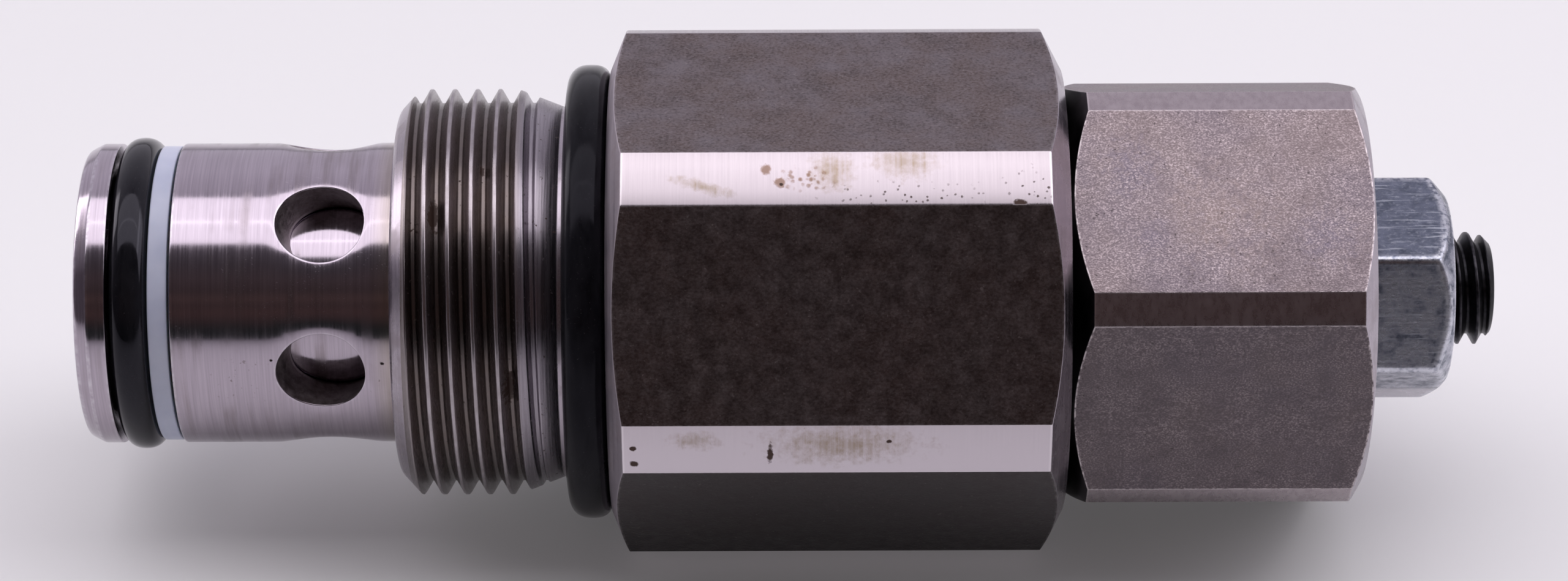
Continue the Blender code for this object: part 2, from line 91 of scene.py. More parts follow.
class Rows:
    """The profile of a turned piece as rows of points, one point for each column.

    Each row has a radius and a station for every column, a weight that says how much
    it lies on a worn edge, and the name of the surface between it and the next row.
    """

    def __init__(self, angles):
        self.angles = np.asarray(angles, float)
        self.rows = []

    def add(self, radius, station, edge=0.0, surface="plain"):
        full = np.ones(len(self.angles))
        self.rows.append((radius * full, station * full, edge * full, surface))

    def profile(self, corners, surface="plain", closed=False):
        """Add corners given as (radius, station[, cut[, surface after it]]).

        A corner with a cut is rounded: its arc starts and ends that far from it. Corners
        that name no surface take the profile's own.
        """
        corners = [corner + (0, surface)[len(corner) - 2:] for corner in corners]
        full = np.ones(len(self.angles))
        places = [np.array([c[0] * full, c[1] * full]) for c in corners]
        count = len(corners)
        for i, (_, _, cut, surface) in enumerate(corners):
            here = places[i]
            has_ends = closed or 0 < i < count - 1
            if not cut or not has_ends:
                self.add(here[0], here[1], 0.0, surface)
                continue
            before, after = places[i - 1], places[(i + 1) % count]
            start, stop = towards(here, before, cut), towards(here, after, cut)
            lead, trail = towards(here, before, 2.2 * cut), towards(here, after, 2.2 * cut)
            coming = corners[i - 1][3]
            self.add(*lead, 0.0, coming)
            for step in range(ARC_STEPS + 1):
                t = step / ARC_STEPS
                bend = (1 - t) ** 2 * start + 2 * t * (1 - t) * here + t ** 2 * stop
                self.add(*bend, 1.0, coming if t < 0.5 else surface)
            self.add(*trail, 0.0, surface)


ARC_STEPS = 4  # steps round a cut corner


def towards(here, there, distance):
    """A point this far from here on the way to there, or 45% of the way if that is nearer."""
    span = there - here
    length = np.maximum(np.hypot(span[0], span[1]), 1e-9)
    return here + span * np.minimum(distance / length, 0.45)


def round_columns(count, start=0.0):
    """Evenly spaced angles about the axis."""
    return start + np.arange(count) * TURN / count


def smooth_min(a, b, blend):
    """The smaller of two values, eased where they cross."""
    near = np.maximum(blend - np.abs(a - b), 0.0) / blend
    return np.minimum(a, b) - near ** 2 * blend / 4


def from_flat(angles):
    """Angles from the middle of the nearest side of a hexagon with a corner at zero."""
    return np.mod(angles, SIXTH) - SIXTH / 2


SIXTH = radians(60)
FLAT_STEPS = 26  # columns across one flat, inside its edges
BAND_STEPS = 8  # columns across one turned corner, inside its edges
CORNER_EASE = 0.05  # millimetres over which a flat eases into its turned corner
ROUND_FLAT_STEPS = 14  # columns across one flat of a rounded hexagon
ROUND_EDGE_STEPS = 12  # steps across one of its long edges


class Hexagon:
    """Columns and outline of a hexagonal bar whose corners are turned down."""

    def __init__(self, across_flats, corner_radius, corner_angle):
        flat = across_flats / 2
        half_flat = acos(flat / corner_radius)
        half_band = radians(30) - half_flat
        ease = min(sqrt(CORNER_EASE) * radians(1.2), half_band * 0.45)
        near_edge = np.array([-1.0, -0.5, -0.2, 0.0, 0.2, 0.5, 1.0]) * ease
        across = np.linspace(-half_flat + 1.8 * ease, half_flat - 1.8 * ease, FLAT_STEPS)
        band = np.linspace(-half_band + 1.8 * ease, half_band - 1.8 * ease, BAND_STEPS)
        angles, on_band, edges = [], [], []
        nearness = 1 - np.abs(near_edge) / ease
        for side in range(6):
            middle = corner_angle + radians(30 + 60 * side)
            parts = [
                (middle - half_flat + near_edge, near_edge < 0, nearness),
                (middle + across, False, 0.0),
                (middle + half_flat + near_edge, near_edge >= 0, nearness),
                (middle + radians(30) + band, True, 0.0),
            ]
            for place, banded, worn in parts:
                angles.append(place)
                on_band.append(np.broadcast_to(banded, place.shape))
                edges.append(np.broadcast_to(worn, place.shape))
        self.angles = np.concatenate(angles)
        self.on_band = np.concatenate(on_band)
        self.edge = np.concatenate(edges)
        straight = flat / np.cos(from_flat(self.angles - corner_angle))
        self.radius = smooth_min(straight, corner_radius, CORNER_EASE)


class RoundedHexagon:
    """Columns and outline of a hexagon whose long edges are rounded to a radius."""

    on_band = None

    def __init__(self, across_flats, fillet, corner_angle):
        reach = atan2(0.55 * fillet, across_flats / 2)
        spread = np.linspace(-1.0, 1.0, ROUND_EDGE_STEPS + 1)
        across = np.linspace(reach * 1.5, SIXTH - reach * 1.5, ROUND_FLAT_STEPS)
        angles, edges = [], []
        for side in range(6):
            corner = corner_angle + radians(60 * side)
            angles += [corner + reach * 1.2 * spread, corner + across]
            edges += [np.clip(1.1 - np.abs(spread), 0.0, 1.0), np.zeros(ROUND_FLAT_STEPS)]
        self.angles = np.concatenate(angles)
        self.edge = np.concatenate(edges)
        turn = from_flat(self.angles - corner_angle + SIXTH / 2)
        flat = across_flats / 2 / np.cos(radians(30) - np.abs(turn))
        centre = (across_flats / 2 - fillet) / cos(radians(30))
        off = centre * np.sin(turn)
        arc = centre * np.cos(turn) + np.sqrt(np.maximum(fillet ** 2 - off ** 2, 0.0))
        inside = np.abs(off) < fillet * sin(radians(30)) + 1e-9
        self.radius = np.where(inside & (np.abs(off) < fillet), np.minimum(arc, flat), flat)


def ring_of_quads(here, there):
    """Quads between two closed rings of points."""
    return np.stack([here, np.roll(here, -1), np.roll(there, -1), there], axis=-1)


def joined(pieces):
    """One mesh from several: points, quads, edge weights and material slots."""
    points, quads, worn, slots = zip(*pieces)
    starts = np.cumsum([0] + [len(p) for p in points[:-1]])
    quads = [q + start for q, start in zip(quads, starts)]
    return [np.concatenate(part) for part in (points, quads, worn, slots)]


def loft(rows, closed):
    """Vertices, quads, edge weights and surface names of a stack of rows."""
    count = len(rows.angles)
    radius = np.array([r[0] for r in rows.rows])
    station = np.array([r[1] for r in rows.rows])
    worn = np.array([r[2] for r in rows.rows])
    points = np.stack([
        SHOULDER_X + station * MM,
        radius * np.cos(rows.angles) * MM,
        radius * np.sin(rows.angles) * MM,
    ], axis=-1).reshape(-1, 3)
    last = len(rows.rows) if closed else len(rows.rows) - 1
    quads, surfaces = [], []
    for j in range(last):
        here = j * count + np.arange(count)
        there = (j + 1) % len(rows.rows) * count + np.arange(count)
        quads.append(ring_of_quads(here, there))
        surfaces += [(rows.rows[j][3], i) for i in range(count)]
    return points, np.concatenate(quads), worn.reshape(-1), surfaces


def linked(name, data):
    """A new object in the scene."""
    made = bpy.data.objects.new(name, data)
    bpy.context.scene.collection.objects.link(made)
    return made


def make_mesh(name, points, faces, worn, slots, materials):
    """A closed mesh object with its seams welded, its normals out and an "edge" weight."""
    mesh = bpy.data.meshes.new(name)
    mesh.from_pydata(points.tolist(), [], faces.tolist() if hasattr(faces, "tolist") else faces)
    mesh.attributes.new("edge", "FLOAT", "POINT").data.foreach_set("value", worn.astype(np.float32))
    for finish in materials:
        mesh.materials.append(finish)
    mesh.polygons.foreach_set("material_index", np.asarray(slots, np.int32))
    work = bmesh.new()
    work.from_mesh(mesh)
    bmesh.ops.remove_doubles(work, verts=work.verts, dist=WELD)
    bmesh.ops.recalc_face_normals(work, faces=work.faces)
    work.to_mesh(mesh)
    work.free()
    mesh.shade_smooth()
    return linked(name, mesh)


WELD = 1e-7  # points closer than this, in metres, are one


def turned_piece(name, body, node, rows, finishes, closed=True, shape=None):
    """Make one turned piece. finishes is a material, or maps surface names to materials.

    With a hexagon as its shape, the long edges of a surface called "side" are worn, and
    its columns on turned corners take the "band" material.
    """
    if shape:
        for i, (radius, station, worn, surface) in enumerate(rows.rows):
            if surface == "side":
                rows.rows[i] = (radius, station, np.maximum(worn, shape.edge), surface)
    points, faces, worn, surfaces = loft(rows, closed)
    if not isinstance(finishes, dict):
        finishes = {"plain": finishes}
    names = list(finishes)
    slots = []
    for surface, column in surfaces:
        if surface == "side" and shape.on_band is not None and shape.on_band[column]:
            surface = "band"
        slots.append(names.index(surface) if surface in names else 0)
    piece = make_mesh(name, points, faces, worn, slots, [finishes[n] for n in names])
    settle(piece, body, node)


def settle(piece, body, node):
    """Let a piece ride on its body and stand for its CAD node."""
    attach(piece, body)
    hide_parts(node)


# --- Node trees

class Nodes:
    """A node tree under construction, with short calls for the nodes it uses."""

    def __init__(self, tree):
        self.tree = tree

    def put(self, kind, values=None, **settings):
        """Add a node, set its settings, and link or set its inputs."""
        made = self.tree.nodes.new("ShaderNode" + kind)
        for key, value in settings.items():
            setattr(made, key, value)
        for key, value in (values or {}).items():
            self.fill(made.inputs[key], value)
        return made

    def fill(self, socket, value):
        """Link an input to an output, or set it."""
        if isinstance(value, bpy.types.NodeSocket):
            self.tree.links.new(value, socket)
        else:
            socket.default_value = (*value, 1.0) if socket.type == "RGBA" else value

    def span(self, value, low, high, to_low=0.0, to_high=1.0):
        """Map a value from one range to another, clamped."""
        return self.put("MapRange", {
            "Value": value, "From Min": low, "From Max": high,
            "To Min": to_low, "To Max": to_high}).outputs[0]

    def blend(self, share, a, b):
        """Blend two numbers."""
        return self.span(share, 0.0, 1.0, a, b)

    def mix(self, share, a, b):
        """Blend two colours."""
        made = self.put("Mix", data_type="RGBA")
        sockets = {s.name: s for s in made.inputs if s.enabled}
        for name, value in (("Factor", share), ("A", a), ("B", b)):
            self.fill(sockets[name], value)
        return [s for s in made.outputs if s.enabled][0]

    def maths(self, operation, a, b=0.0):
        return self.put("Math", {0: a, 1: b}, operation=operation).outputs[0]

    def add(self, a, b):
        return self.maths("ADD", a, b)

    def both(self, a, b):
        """Where two masks show together, or one at a lower strength."""
        return self.maths("MULTIPLY", a, b)

    def any_of(self, whole, *masks):
        """Where at least one mask shows."""
        for mask in masks:
            whole = self.maths("MAXIMUM", whole, mask)
        return whole

    def mapped(self, vector, vector_type="POINT", **values):
        """A vector moved, turned or scaled."""
        return self.put("Mapping", {"Vector": vector, **values},
                        vector_type=vector_type).outputs[0]

    def length(self, vector):
        return self.put("VectorMath", {0: vector}, operation="LENGTH").outputs["Value"]


class Finish(Nodes):
    """A material under construction. Its marks lie on a surface this far from the axis."""

    def __init__(self, name, surface=None):
        self.material = bpy.data.materials.new(name + "_looks")
        self.material.use_nodes = True
        super().__init__(self.material.node_tree)
        self.surface = surface
        self.color = None
        self.torn = None
        coordinates = self.put("TexCoord")
        self.place = self.mapped(coordinates.outputs["Object"], Scale=(1 / MM, 1 / MM, 1 / MM))

    def noise(self, scale, stretch=(1, 1, 1), detail=3, roughness=0.55, shift=0,
              distortion=0.0):
        """Noise over the piece; scale is in features per millimetre."""
        place = self.mapped(self.place, Scale=stretch, Location=(shift, 1.7 * shift, -shift))
        return self.put("TexNoise", {
            "Vector": place, "Scale": scale, "Detail": detail, "Roughness": roughness,
            "Distortion": distortion}).outputs["Fac"]

    def cells(self, scale):
        """Distance from the nearest of many scattered points."""
        return self.put("TexVoronoi", {
            "Vector": self.place, "Scale": scale}).outputs["Distance"]

    def scratches(self, angle, length, width, amount, shift):
        """Sparse straight streaks, bright where the surface is scored."""
        place = self.mapped(self.place, Rotation=(0, 0, radians(angle)))
        place = self.mapped(place, Scale=(1 / length, 1 / width, 1 / width),
                            Location=(shift, shift, shift))
        streak = self.put("TexNoise", {"Vector": place, "Scale": 1.0, "Detail": 0.0})
        return self.span(streak.outputs["Fac"], 1 - amount, 1 - amount + SCRATCH_EDGE)

    def mark(self, station, elevation, along, across, tilt=0.0, ragged=0.35, soft=0.35):
        """A ragged spot on the surface, with its half sizes in millimetres."""
        e = radians(elevation)
        centre = (station + SHOULDER_X / MM, -self.surface * cos(e), self.surface * sin(e))
        turn = Matrix.Rotation(pi / 2 - e, 3, "X") @ Matrix.Rotation(radians(tilt), 3, "Z")
        local = self.mapped(self.place, "TEXTURE", Location=centre, Rotation=turn.to_euler(),
                            Scale=(along, across, MARK_DEPTH))
        if self.torn is None:
            self.torn = self.noise(1.6, detail=4, roughness=0.65, shift=31)
        away = self.add(self.length(local), self.span(self.torn, 0.3, 0.7, -ragged, ragged))
        return self.span(away, 1.0, 1.0 - soft)

    def edge(self):
        """The weight of a worn edge, from the mesh."""
        return self.put("Attribute", attribute_name="edge").outputs["Fac"]

    def radius(self):
        """Distance from the valve's axis, in millimetres."""
        return self.length(self.mapped(self.place, Scale=(0, 1, 1)))

    def axes(self):
        """Station along the axis and height above it, in millimetres."""
        split = self.put("SeparateXYZ", {0: self.place})
        return self.maths("SUBTRACT", split.outputs["X"], SHOULDER_X / MM), split.outputs["Z"]

    def base(self, value, low, high, dark, light):
        """Start the colour: from dark to light as a value goes from low to high."""
        self.color = self.mix(self.span(value, low, high), dark, light)

    def paint(self, mask, color, strength=None):
        """Lay another colour over the colour so far."""
        if strength is not None:
            mask = self.both(mask, strength)
        self.color = self.mix(mask, self.color, color)

    def wear(self, patches, low, high, least, most, color):
        """Brighten worn edges, from least to most as patches go from low to high."""
        self.paint(self.both(self.edge(), self.span(patches, low, high, least, most)), color)

    def done(self, roughness, height=None, strength=0.0, distance=0.05, metallic=1, **fixed):
        """Fill the shader's main inputs, with a bump if there is a height, and others by name."""
        values = {"Base Color": self.color, "Roughness": roughness, "Metallic": metallic, **fixed}
        if height is not None:
            values["Normal"] = self.put("Bump", {
                "Height": height, "Strength": strength, "Distance": distance * MM}).outputs[0]
        shader = self.tree.nodes["Principled BSDF"]
        for name, value in values.items():
            self.fill(shader.inputs[name.replace("_", " ")], value)
        return self.material


MARK_DEPTH = 3.0  # how far below and above the surface a mark reaches
SCRATCH_EDGE = 0.05  # how sharply a scratch begins
AROUND = (1.0, 0.02, 0.02)  # stretches noise round the axis, as turning marks lie


def ground_steel():
    """Bright ground steel: fine marks round the axis, faint smears, specks and scratches."""
    f = Finish("ground_steel", 13.2)
    station, _ = f.axes()
    fine = f.noise(6.5, AROUND, detail=4)
    broad = f.noise(0.9, (1.0, 0.06, 0.06), shift=4)
    patches = f.noise(0.13, detail=4, shift=9)
    stain = f.both(f.span(broad, 0.48, 0.66), f.span(patches, 0.42, 0.6))
    specks = f.both(f.span(f.noise(2.6, shift=3), 0.64, 0.72),
                    f.any_of(f.mark(-31.5, 1.0, 3.5, 4.5, soft=0.9),
                             f.mark(-20.3, 0.0, 1.2, 3.0, soft=0.9)))
    pits = f.any_of(f.mark(-28.9, 9.5, 0.16, 0.14), f.mark(-19.4, 8.0, 0.22, 0.2))
    scored = f.both(f.scratches(20, 2.6, 0.05, 0.225, 2.0), f.span(patches, 0.46, 0.6))
    f.base(fine, 0.3, 0.7, (0.355, 0.312, 0.36), (0.445, 0.392, 0.45))
    f.paint(f.span(station, -20.4, -18.7), (0.38, 0.325, 0.235), 0.45)
    f.paint(stain, (0.21, 0.175, 0.18), 0.55)
    f.paint(specks, (0.11, 0.075, 0.06), 0.7)
    f.paint(pits, (0.02, 0.015, 0.015))
    f.wear(f.noise(1.5, shift=14), 0.35, 0.65, 0.05, 0.45, (0.72, 0.69, 0.74))
    rough = f.add(f.span(fine, 0.25, 0.75, 0.085, 0.175), f.both(stain, 0.12))
    rough = f.add(rough, f.both(f.any_of(specks, scored), 0.22))
    return f.done(rough, fine, 0.07)


def drilled_steel():
    """Torn, dull wall of a drilled port."""
    f = Finish("drilled_steel")
    mottle = f.noise(1.3, detail=4, roughness=0.65)
    grit = f.noise(4.5, roughness=0.6, shift=3)
    f.base(mottle, 0.35, 0.65, (0.21, 0.182, 0.182), (0.4, 0.355, 0.36))
    f.paint(f.span(grit, 0.54, 0.7), (0.5, 0.45, 0.46), 0.5)
    return f.done(f.span(mottle, 0.3, 0.7, 0.38, 0.58), f.add(mottle, grit), 0.35, 0.07)


def turned_steel(name, smooth, rough):
    """Plain bright turned steel, for chamfers and end faces."""
    f = Finish(name)
    feed = f.noise(5.5, AROUND, detail=4)
    film = f.span(f.noise(0.35, detail=4, shift=2), 0.48, 0.66)
    f.base(feed, 0.3, 0.7, (0.34, 0.305, 0.345), (0.43, 0.385, 0.43))
    f.paint(film, (0.24, 0.2, 0.2), 0.35)
    f.paint(f.edge(), (0.8, 0.76, 0.8), 0.12)
    roughness = f.add(f.span(feed, 0.25, 0.75, smooth, rough), f.both(film, 0.1))
    return f.done(roughness, feed, 0.16)


def band_steel():
    """The large hexagon's turned corners: nearly white, finely ringed, with stains and rust, and
    laid lighter below the axis as a painted reflection.
    """
    f = Finish("band_steel", 23.0)
    _, height = f.axes()
    feed = f.noise(7.0, AROUND)
    rings = f.noise(3.2, AROUND, detail=1, shift=8)
    wobble = f.span(f.noise(3.5, detail=2, shift=5), 0.3, 0.7, -0.07, 0.07)
    dots = f.add(f.cells(1.9), wobble)
    tan = f.any_of(
        f.mark(8.2, 58.2, 3.6, 0.62, tilt=-17, soft=1),
        f.mark(19.2, 61.6, 2.2, 2.2, ragged=0.3, soft=0.9),
        f.mark(25.3, 63.8, 3.3, 1.9, ragged=0.3, soft=0.9),
        f.mark(20.0, 1.5, 7.5, 2.4, soft=1),
        f.mark(7.5, 2.5, 2.6, 1.1, soft=1))
    orange = f.any_of(
        f.mark(13.56, 61.9, 0.56, 0.55, soft=0.5),
        f.mark(14.8, 59.1, 0.55, 0.5, soft=0.4),
        f.both(f.mark(17.0, 60.0, 2.3, 1.5, soft=0.7), f.span(dots, 0.46, 0.2)))
    dark = f.any_of(
        f.mark(13.9, -1.2, 0.29, 1.2), f.mark(2.3, 0.5, 0.28, 0.28),
        f.mark(2.4, -3.5, 0.38, 0.34), f.mark(34.9, 54.0, 0.7, 0.45),
        f.mark(23.9, 2.2, 0.26, 0.2), f.mark(14.9, 58.6, 0.18, 0.15),
        f.both(f.mark(25.5, 55.6, 9.0, 1.5, soft=0.9), f.span(dots, 0.23, 0.14, 0.0, 0.8)),
        f.both(f.mark(36.0, 57.0, 3.0, 2.5, soft=0.9), f.span(dots, 0.24, 0.14, 0.0, 0.8)))
    f.base(feed, 0.3, 0.7, (0.385, 0.345, 0.368), (0.445, 0.4, 0.426))
    # Painted reflection: the turned corners are laid lighter from a little above the axis
    # downwards.
    f.paint(f.span(height, 8.0, -4.0), (0.6, 0.546, 0.594))
    f.paint(f.both(tan, f.span(rings, 0.35, 0.62, 0.4, 0.8)), (0.25, 0.19, 0.125))
    f.paint(orange, (0.36, 0.19, 0.1), 0.62)
    f.paint(dark, (0.055, 0.026, 0.018))
    f.paint(f.edge(), (0.85, 0.8, 0.83), 0.35)
    rust = f.any_of(f.both(orange, 0.7), dark)
    rough = f.add(f.span(feed, 0.25, 0.75, 0.19, 0.27), f.both(tan, 0.08))
    rough = f.add(rough, f.both(rust, 0.4))
    metallic = f.blend(rust, 1.0, 0.25)
    return f.done(rough, f.add(feed, rust), 0.12, metallic=metallic)


def thread_steel():
    """Turned thread: narrow bright crests, a thin brown film on the flanks, rust in places."""
    f = Finish("thread_steel", 17.0)
    station, _ = f.axes()
    feed = f.noise(6.0, AROUND)
    film = f.noise(0.6, (0.5, 1, 1), detail=5, shift=6)
    dots = f.noise(2.2, shift=12)
    deep = f.span(f.radius(), 17.72, 17.0)
    run_out = f.span(station, -7.9, -7.2)
    rust = f.any_of(
        f.mark(-14.7, 58.0, 0.55, 1.7, ragged=0.5), f.mark(-8.3, 7.3, 0.55, 1.7, ragged=0.5),
        f.mark(-10.7, 74.0, 0.25, 0.7, ragged=0.5),
        f.both(f.span(dots, 0.66, 0.72), deep))
    f.base(feed, 0.3, 0.7, (0.215, 0.19, 0.197), (0.3, 0.265, 0.273))
    f.paint(f.both(deep, f.span(film, 0.35, 0.65, 0.45, 0.85)), (0.135, 0.11, 0.098))
    root = f.span(f.radius(), 16.9, 16.75)
    f.paint(f.both(root, f.span(film, 0.4, 0.6, 0.65, 0.25)), (0.1, 0.084, 0.08))
    f.paint(run_out, f.mix(f.span(feed, 0.3, 0.7), (0.2, 0.18, 0.205), (0.33, 0.3, 0.335)))
    crest = f.both(f.span(f.radius(), 17.83, 17.875), f.span(film, 0.35, 0.6, 0.25, 0.85))
    f.paint(crest, (0.4, 0.365, 0.39))
    f.paint(rust, (0.035, 0.016, 0.011))
    rough = f.add(f.span(feed, 0.25, 0.75, 0.22, 0.32), f.both(rust, 0.3))
    metallic = f.blend(rust, 1.0, 0.3)
    return f.done(rough, feed, 0.15, metallic=metallic)


def body_flat():
    """Dark rolled skin of the large hexagon: fine grain, mottling and reddish-brown clouds, with
    painted light on the upper flat and painted shade on the flats below the axis.
    """
    f = Finish("body_flat")
    _, height = f.axes()
    grain = f.noise(4.6, (0.8, 1, 1), roughness=0.7)
    clump = f.noise(1.9, (0.8, 1, 1), detail=4, roughness=0.7, shift=13)
    mottle = f.noise(0.7, detail=5, roughness=0.7, shift=7)
    cloud = f.noise(0.13, detail=4, roughness=0.6, shift=3)
    brown = f.span(f.noise(0.15, detail=5, roughness=0.65, shift=21), 0.42, 0.6)
    specks = f.span(f.noise(3.4, detail=1, shift=15), 0.71, 0.76)
    painted_light_top = f.span(height, 19.9, 20.9)
    painted_shade_below = f.span(height, 0.5, -0.5)
    patch = f.noise(0.32, detail=5, roughness=0.65, shift=33)
    f.base(mottle, 0.32, 0.68, (0.088, 0.067, 0.063), (0.12, 0.093, 0.089))
    f.paint(brown, (0.098, 0.063, 0.056), 0.6)
    f.paint(f.span(cloud, 0.4, 0.62), (0.125, 0.11, 0.114), 0.25)
    f.paint(f.both(f.span(clump, 0.56, 0.4), f.blend(painted_shade_below, 0.2, 0.1)), (0.035, 0.029, 0.029))
    # Painted light: the upper flat is laid lighter, with its own lighter and darker patches and
    # brown.
    f.paint(f.both(painted_light_top, f.span(mottle, 0.34, 0.66, 0.2, 0.62)), (0.175, 0.148, 0.162))
    f.paint(f.both(painted_light_top, f.span(patch, 0.42, 0.62, 0.0, 0.6)), (0.19, 0.168, 0.186))
    f.paint(f.both(painted_light_top, brown), (0.125, 0.09, 0.08), 0.65)
    f.paint(f.both(painted_light_top, f.span(patch, 0.48, 0.34, 0.0, 0.45)), (0.075, 0.06, 0.06))
    # Painted shade: the flats below the axis are laid darker, nearly black towards the bottom.
    f.paint(painted_shade_below, (0.046, 0.043, 0.047), 0.7)
    f.paint(f.span(height, -13.0, -20.0, 0.0, 0.65), (0.012, 0.011, 0.012))
    # The grain is laid brighter on the upper flat and fainter below: painted light and shade over
    # the skin's grain.
    lit = f.both(f.span(grain, 0.4, 0.68), f.blend(painted_light_top, 0.4, 0.62))
    lit = f.both(lit, f.blend(painted_shade_below, 1.0, 0.15))
    f.paint(lit, (0.235, 0.205, 0.212))
    dim = f.both(f.span(grain, 0.46, 0.3), f.blend(painted_light_top, 0.3, 0.55))
    f.paint(dim, (0.05, 0.043, 0.044))
    f.paint(specks, (0.45, 0.4, 0.39), 0.25)
    f.wear(f.noise(1.6, shift=2), 0.42, 0.62, 0.0, 0.18, (0.7, 0.65, 0.67))
    return f.done(f.span(mottle, 0.35, 0.65, 0.34, 0.48), f.add(grain, clump), 0.5, 0.06)


def cap_flat():
    """The cap's flats: dense bright grains on grey-brown, in warm and bluish patches, with painted
    shade on every flat but the upper one.
    """
    f = Finish("cap_flat", 18.0)
    _, height = f.axes()
    grain = f.noise(8.0, (0.72, 1, 1), detail=2.5, roughness=0.62)
    clump = f.noise(2.4, (0.8, 1, 1), detail=4, roughness=0.7, shift=13)
    zone = f.noise(0.35, detail=4, roughness=0.6, shift=17)
    warm = f.any_of(f.both(f.span(f.noise(0.1, shift=5), 0.46, 0.58), 0.35),
                    f.mark(51.5, 58.5, 7.5, 6.5, ragged=0.6, soft=1))
    cool = f.any_of(f.both(f.span(f.noise(0.12, shift=26), 0.46, 0.58), 0.35),
                    f.mark(44.8, 69.0, 3.2, 4.2, ragged=0.6, soft=1),
                    f.mark(46.5, 50.0, 2.5, 3.2, ragged=0.6, soft=1),
                    f.mark(61.0, 50.0, 3.4, 3.0, ragged=0.6, soft=1))
    pits = f.span(f.noise(3.0, detail=2, shift=9), 0.33, 0.27)
    painted_light_upper = f.span(height, 9.8, 10.8)
    f.base(zone, 0.35, 0.65, (0.135, 0.11, 0.12), (0.2, 0.165, 0.178))
    f.paint(warm, (0.245, 0.192, 0.178), 0.65)
    f.paint(cool, (0.145, 0.126, 0.165), 0.65)
    # Painted shade: every flat but the upper one is laid darker, and its bright grains are laid
    # dimmer.
    f.paint(f.blend(painted_light_upper, 0.62, 0.0), (0.062, 0.054, 0.058))
    share = f.both(f.span(grain, 0.46, 0.74), f.blend(painted_light_upper, 0.4, 1.0))
    share = f.both(share, f.span(zone, 0.35, 0.62, 0.35, 1.0))
    f.paint(share, (0.56, 0.475, 0.49))
    f.paint(f.span(clump, 0.48, 0.32), (0.075, 0.064, 0.067), 0.28)
    f.paint(pits, (0.06, 0.05, 0.05), 0.6)
    f.wear(f.noise(2.2, detail=4, shift=2), 0.4, 0.58, 0.0, 0.8, (0.62, 0.56, 0.57))
    bumps = f.maths("SUBTRACT", grain, f.both(pits, 0.6))
    return f.done(f.span(zone, 0.35, 0.65, 0.36, 0.48), bumps, 0.45, 0.06)


def cap_band():
    """The cap's turned corners: smooth, dull grey-brown."""
    f = Finish("cap_band")
    feed = f.noise(1.6, (1.0, 0.5, 0.5), detail=5, roughness=0.7)
    f.base(feed, 0.35, 0.65, (0.34, 0.29, 0.31), (0.42, 0.365, 0.385))
    f.paint(f.edge(), (0.62, 0.56, 0.57), 0.6)
    return f.done(f.span(feed, 0.3, 0.7, 0.24, 0.32), feed, 0.08)


def painted_shade_steel():
    """Dark steel in the gap between the two hexagons: painted shade."""
    f = Finish("painted_shade_steel")
    smear = f.noise(0.8, (1.0, 0.3, 0.3), detail=4)
    f.base(smear, 0.35, 0.65, (0.016, 0.015, 0.017), (0.05, 0.045, 0.048))
    return f.done(f.span(smear, 0.3, 0.7, 0.28, 0.42), smear, 0.1)


def zinc_plate():
    """Blue-white zinc plate, blotched, with fine scratches along the axis, and painted light and
    shade by height: a darker top, lighter blotches in the middle and a lighter lower flat.
    """
    f = Finish("zinc_plate")
    blotch = f.noise(0.9, (0.8, 1, 1), detail=5, roughness=0.62, shift=4)
    lines = f.noise(4.2, (0.05, 1, 1), detail=2, shift=9)
    long_lines = f.span(lines, 0.6, 0.7)
    grit = f.noise(3.6, (0.6, 1, 1), detail=4, roughness=0.65, shift=1)
    _, height = f.axes()
    f.base(blotch, 0.34, 0.66, (0.074, 0.087, 0.122), (0.222, 0.246, 0.322))
    # Painted light and shade by height: the top is laid darker, the flats between lighter in
    # blotches, and the lower flat and its edge lighter still.
    f.paint(f.span(height, 7.2, 8.0), (0.085, 0.09, 0.115), 0.3)
    middle = f.both(f.span(height, 7.6, 6.8), f.span(height, -6.8, -6.0))
    f.paint(f.both(middle, f.span(blotch, 0.38, 0.62, 0.1, 0.85)), (0.56, 0.56, 0.62))
    f.paint(f.span(grit, 0.52, 0.7), (0.44, 0.46, 0.52), 0.45)
    f.paint(f.span(height, -6.2, -6.9), (0.6, 0.585, 0.625), 0.9)
    f.paint(f.both(long_lines, f.span(height, -6.0, -7.0, 0.6, 0.15)), (0.6, 0.63, 0.7))
    f.paint(f.span(height, -6.6, -7.1), (0.66, 0.635, 0.68), 0.6)
    f.wear(f.noise(2.4, shift=2), 0.36, 0.56, 0.05, 0.65, (0.74, 0.75, 0.81))
    bumps = f.add(grit, f.both(lines, 0.5))
    return f.done(f.span(blotch, 0.35, 0.65, 0.36, 0.24), bumps, 0.16)


def black_screw():
    """Black oxide on a set screw, rubbed grey on its crests."""
    f = Finish("black_screw")
    mottle = f.noise(1.8, detail=4)
    crest = f.span(f.radius(), 4.85, 4.94)
    f.base(mottle, 0.35, 0.65, (0.007, 0.007, 0.009), (0.026, 0.025, 0.029))
    f.paint(f.both(crest, f.span(mottle, 0.4, 0.6, 0.1, 0.5)), (0.07, 0.065, 0.075))
    return f.done(f.span(mottle, 0.3, 0.7, 0.28, 0.42), mottle, 0.15, metallic=0.85)


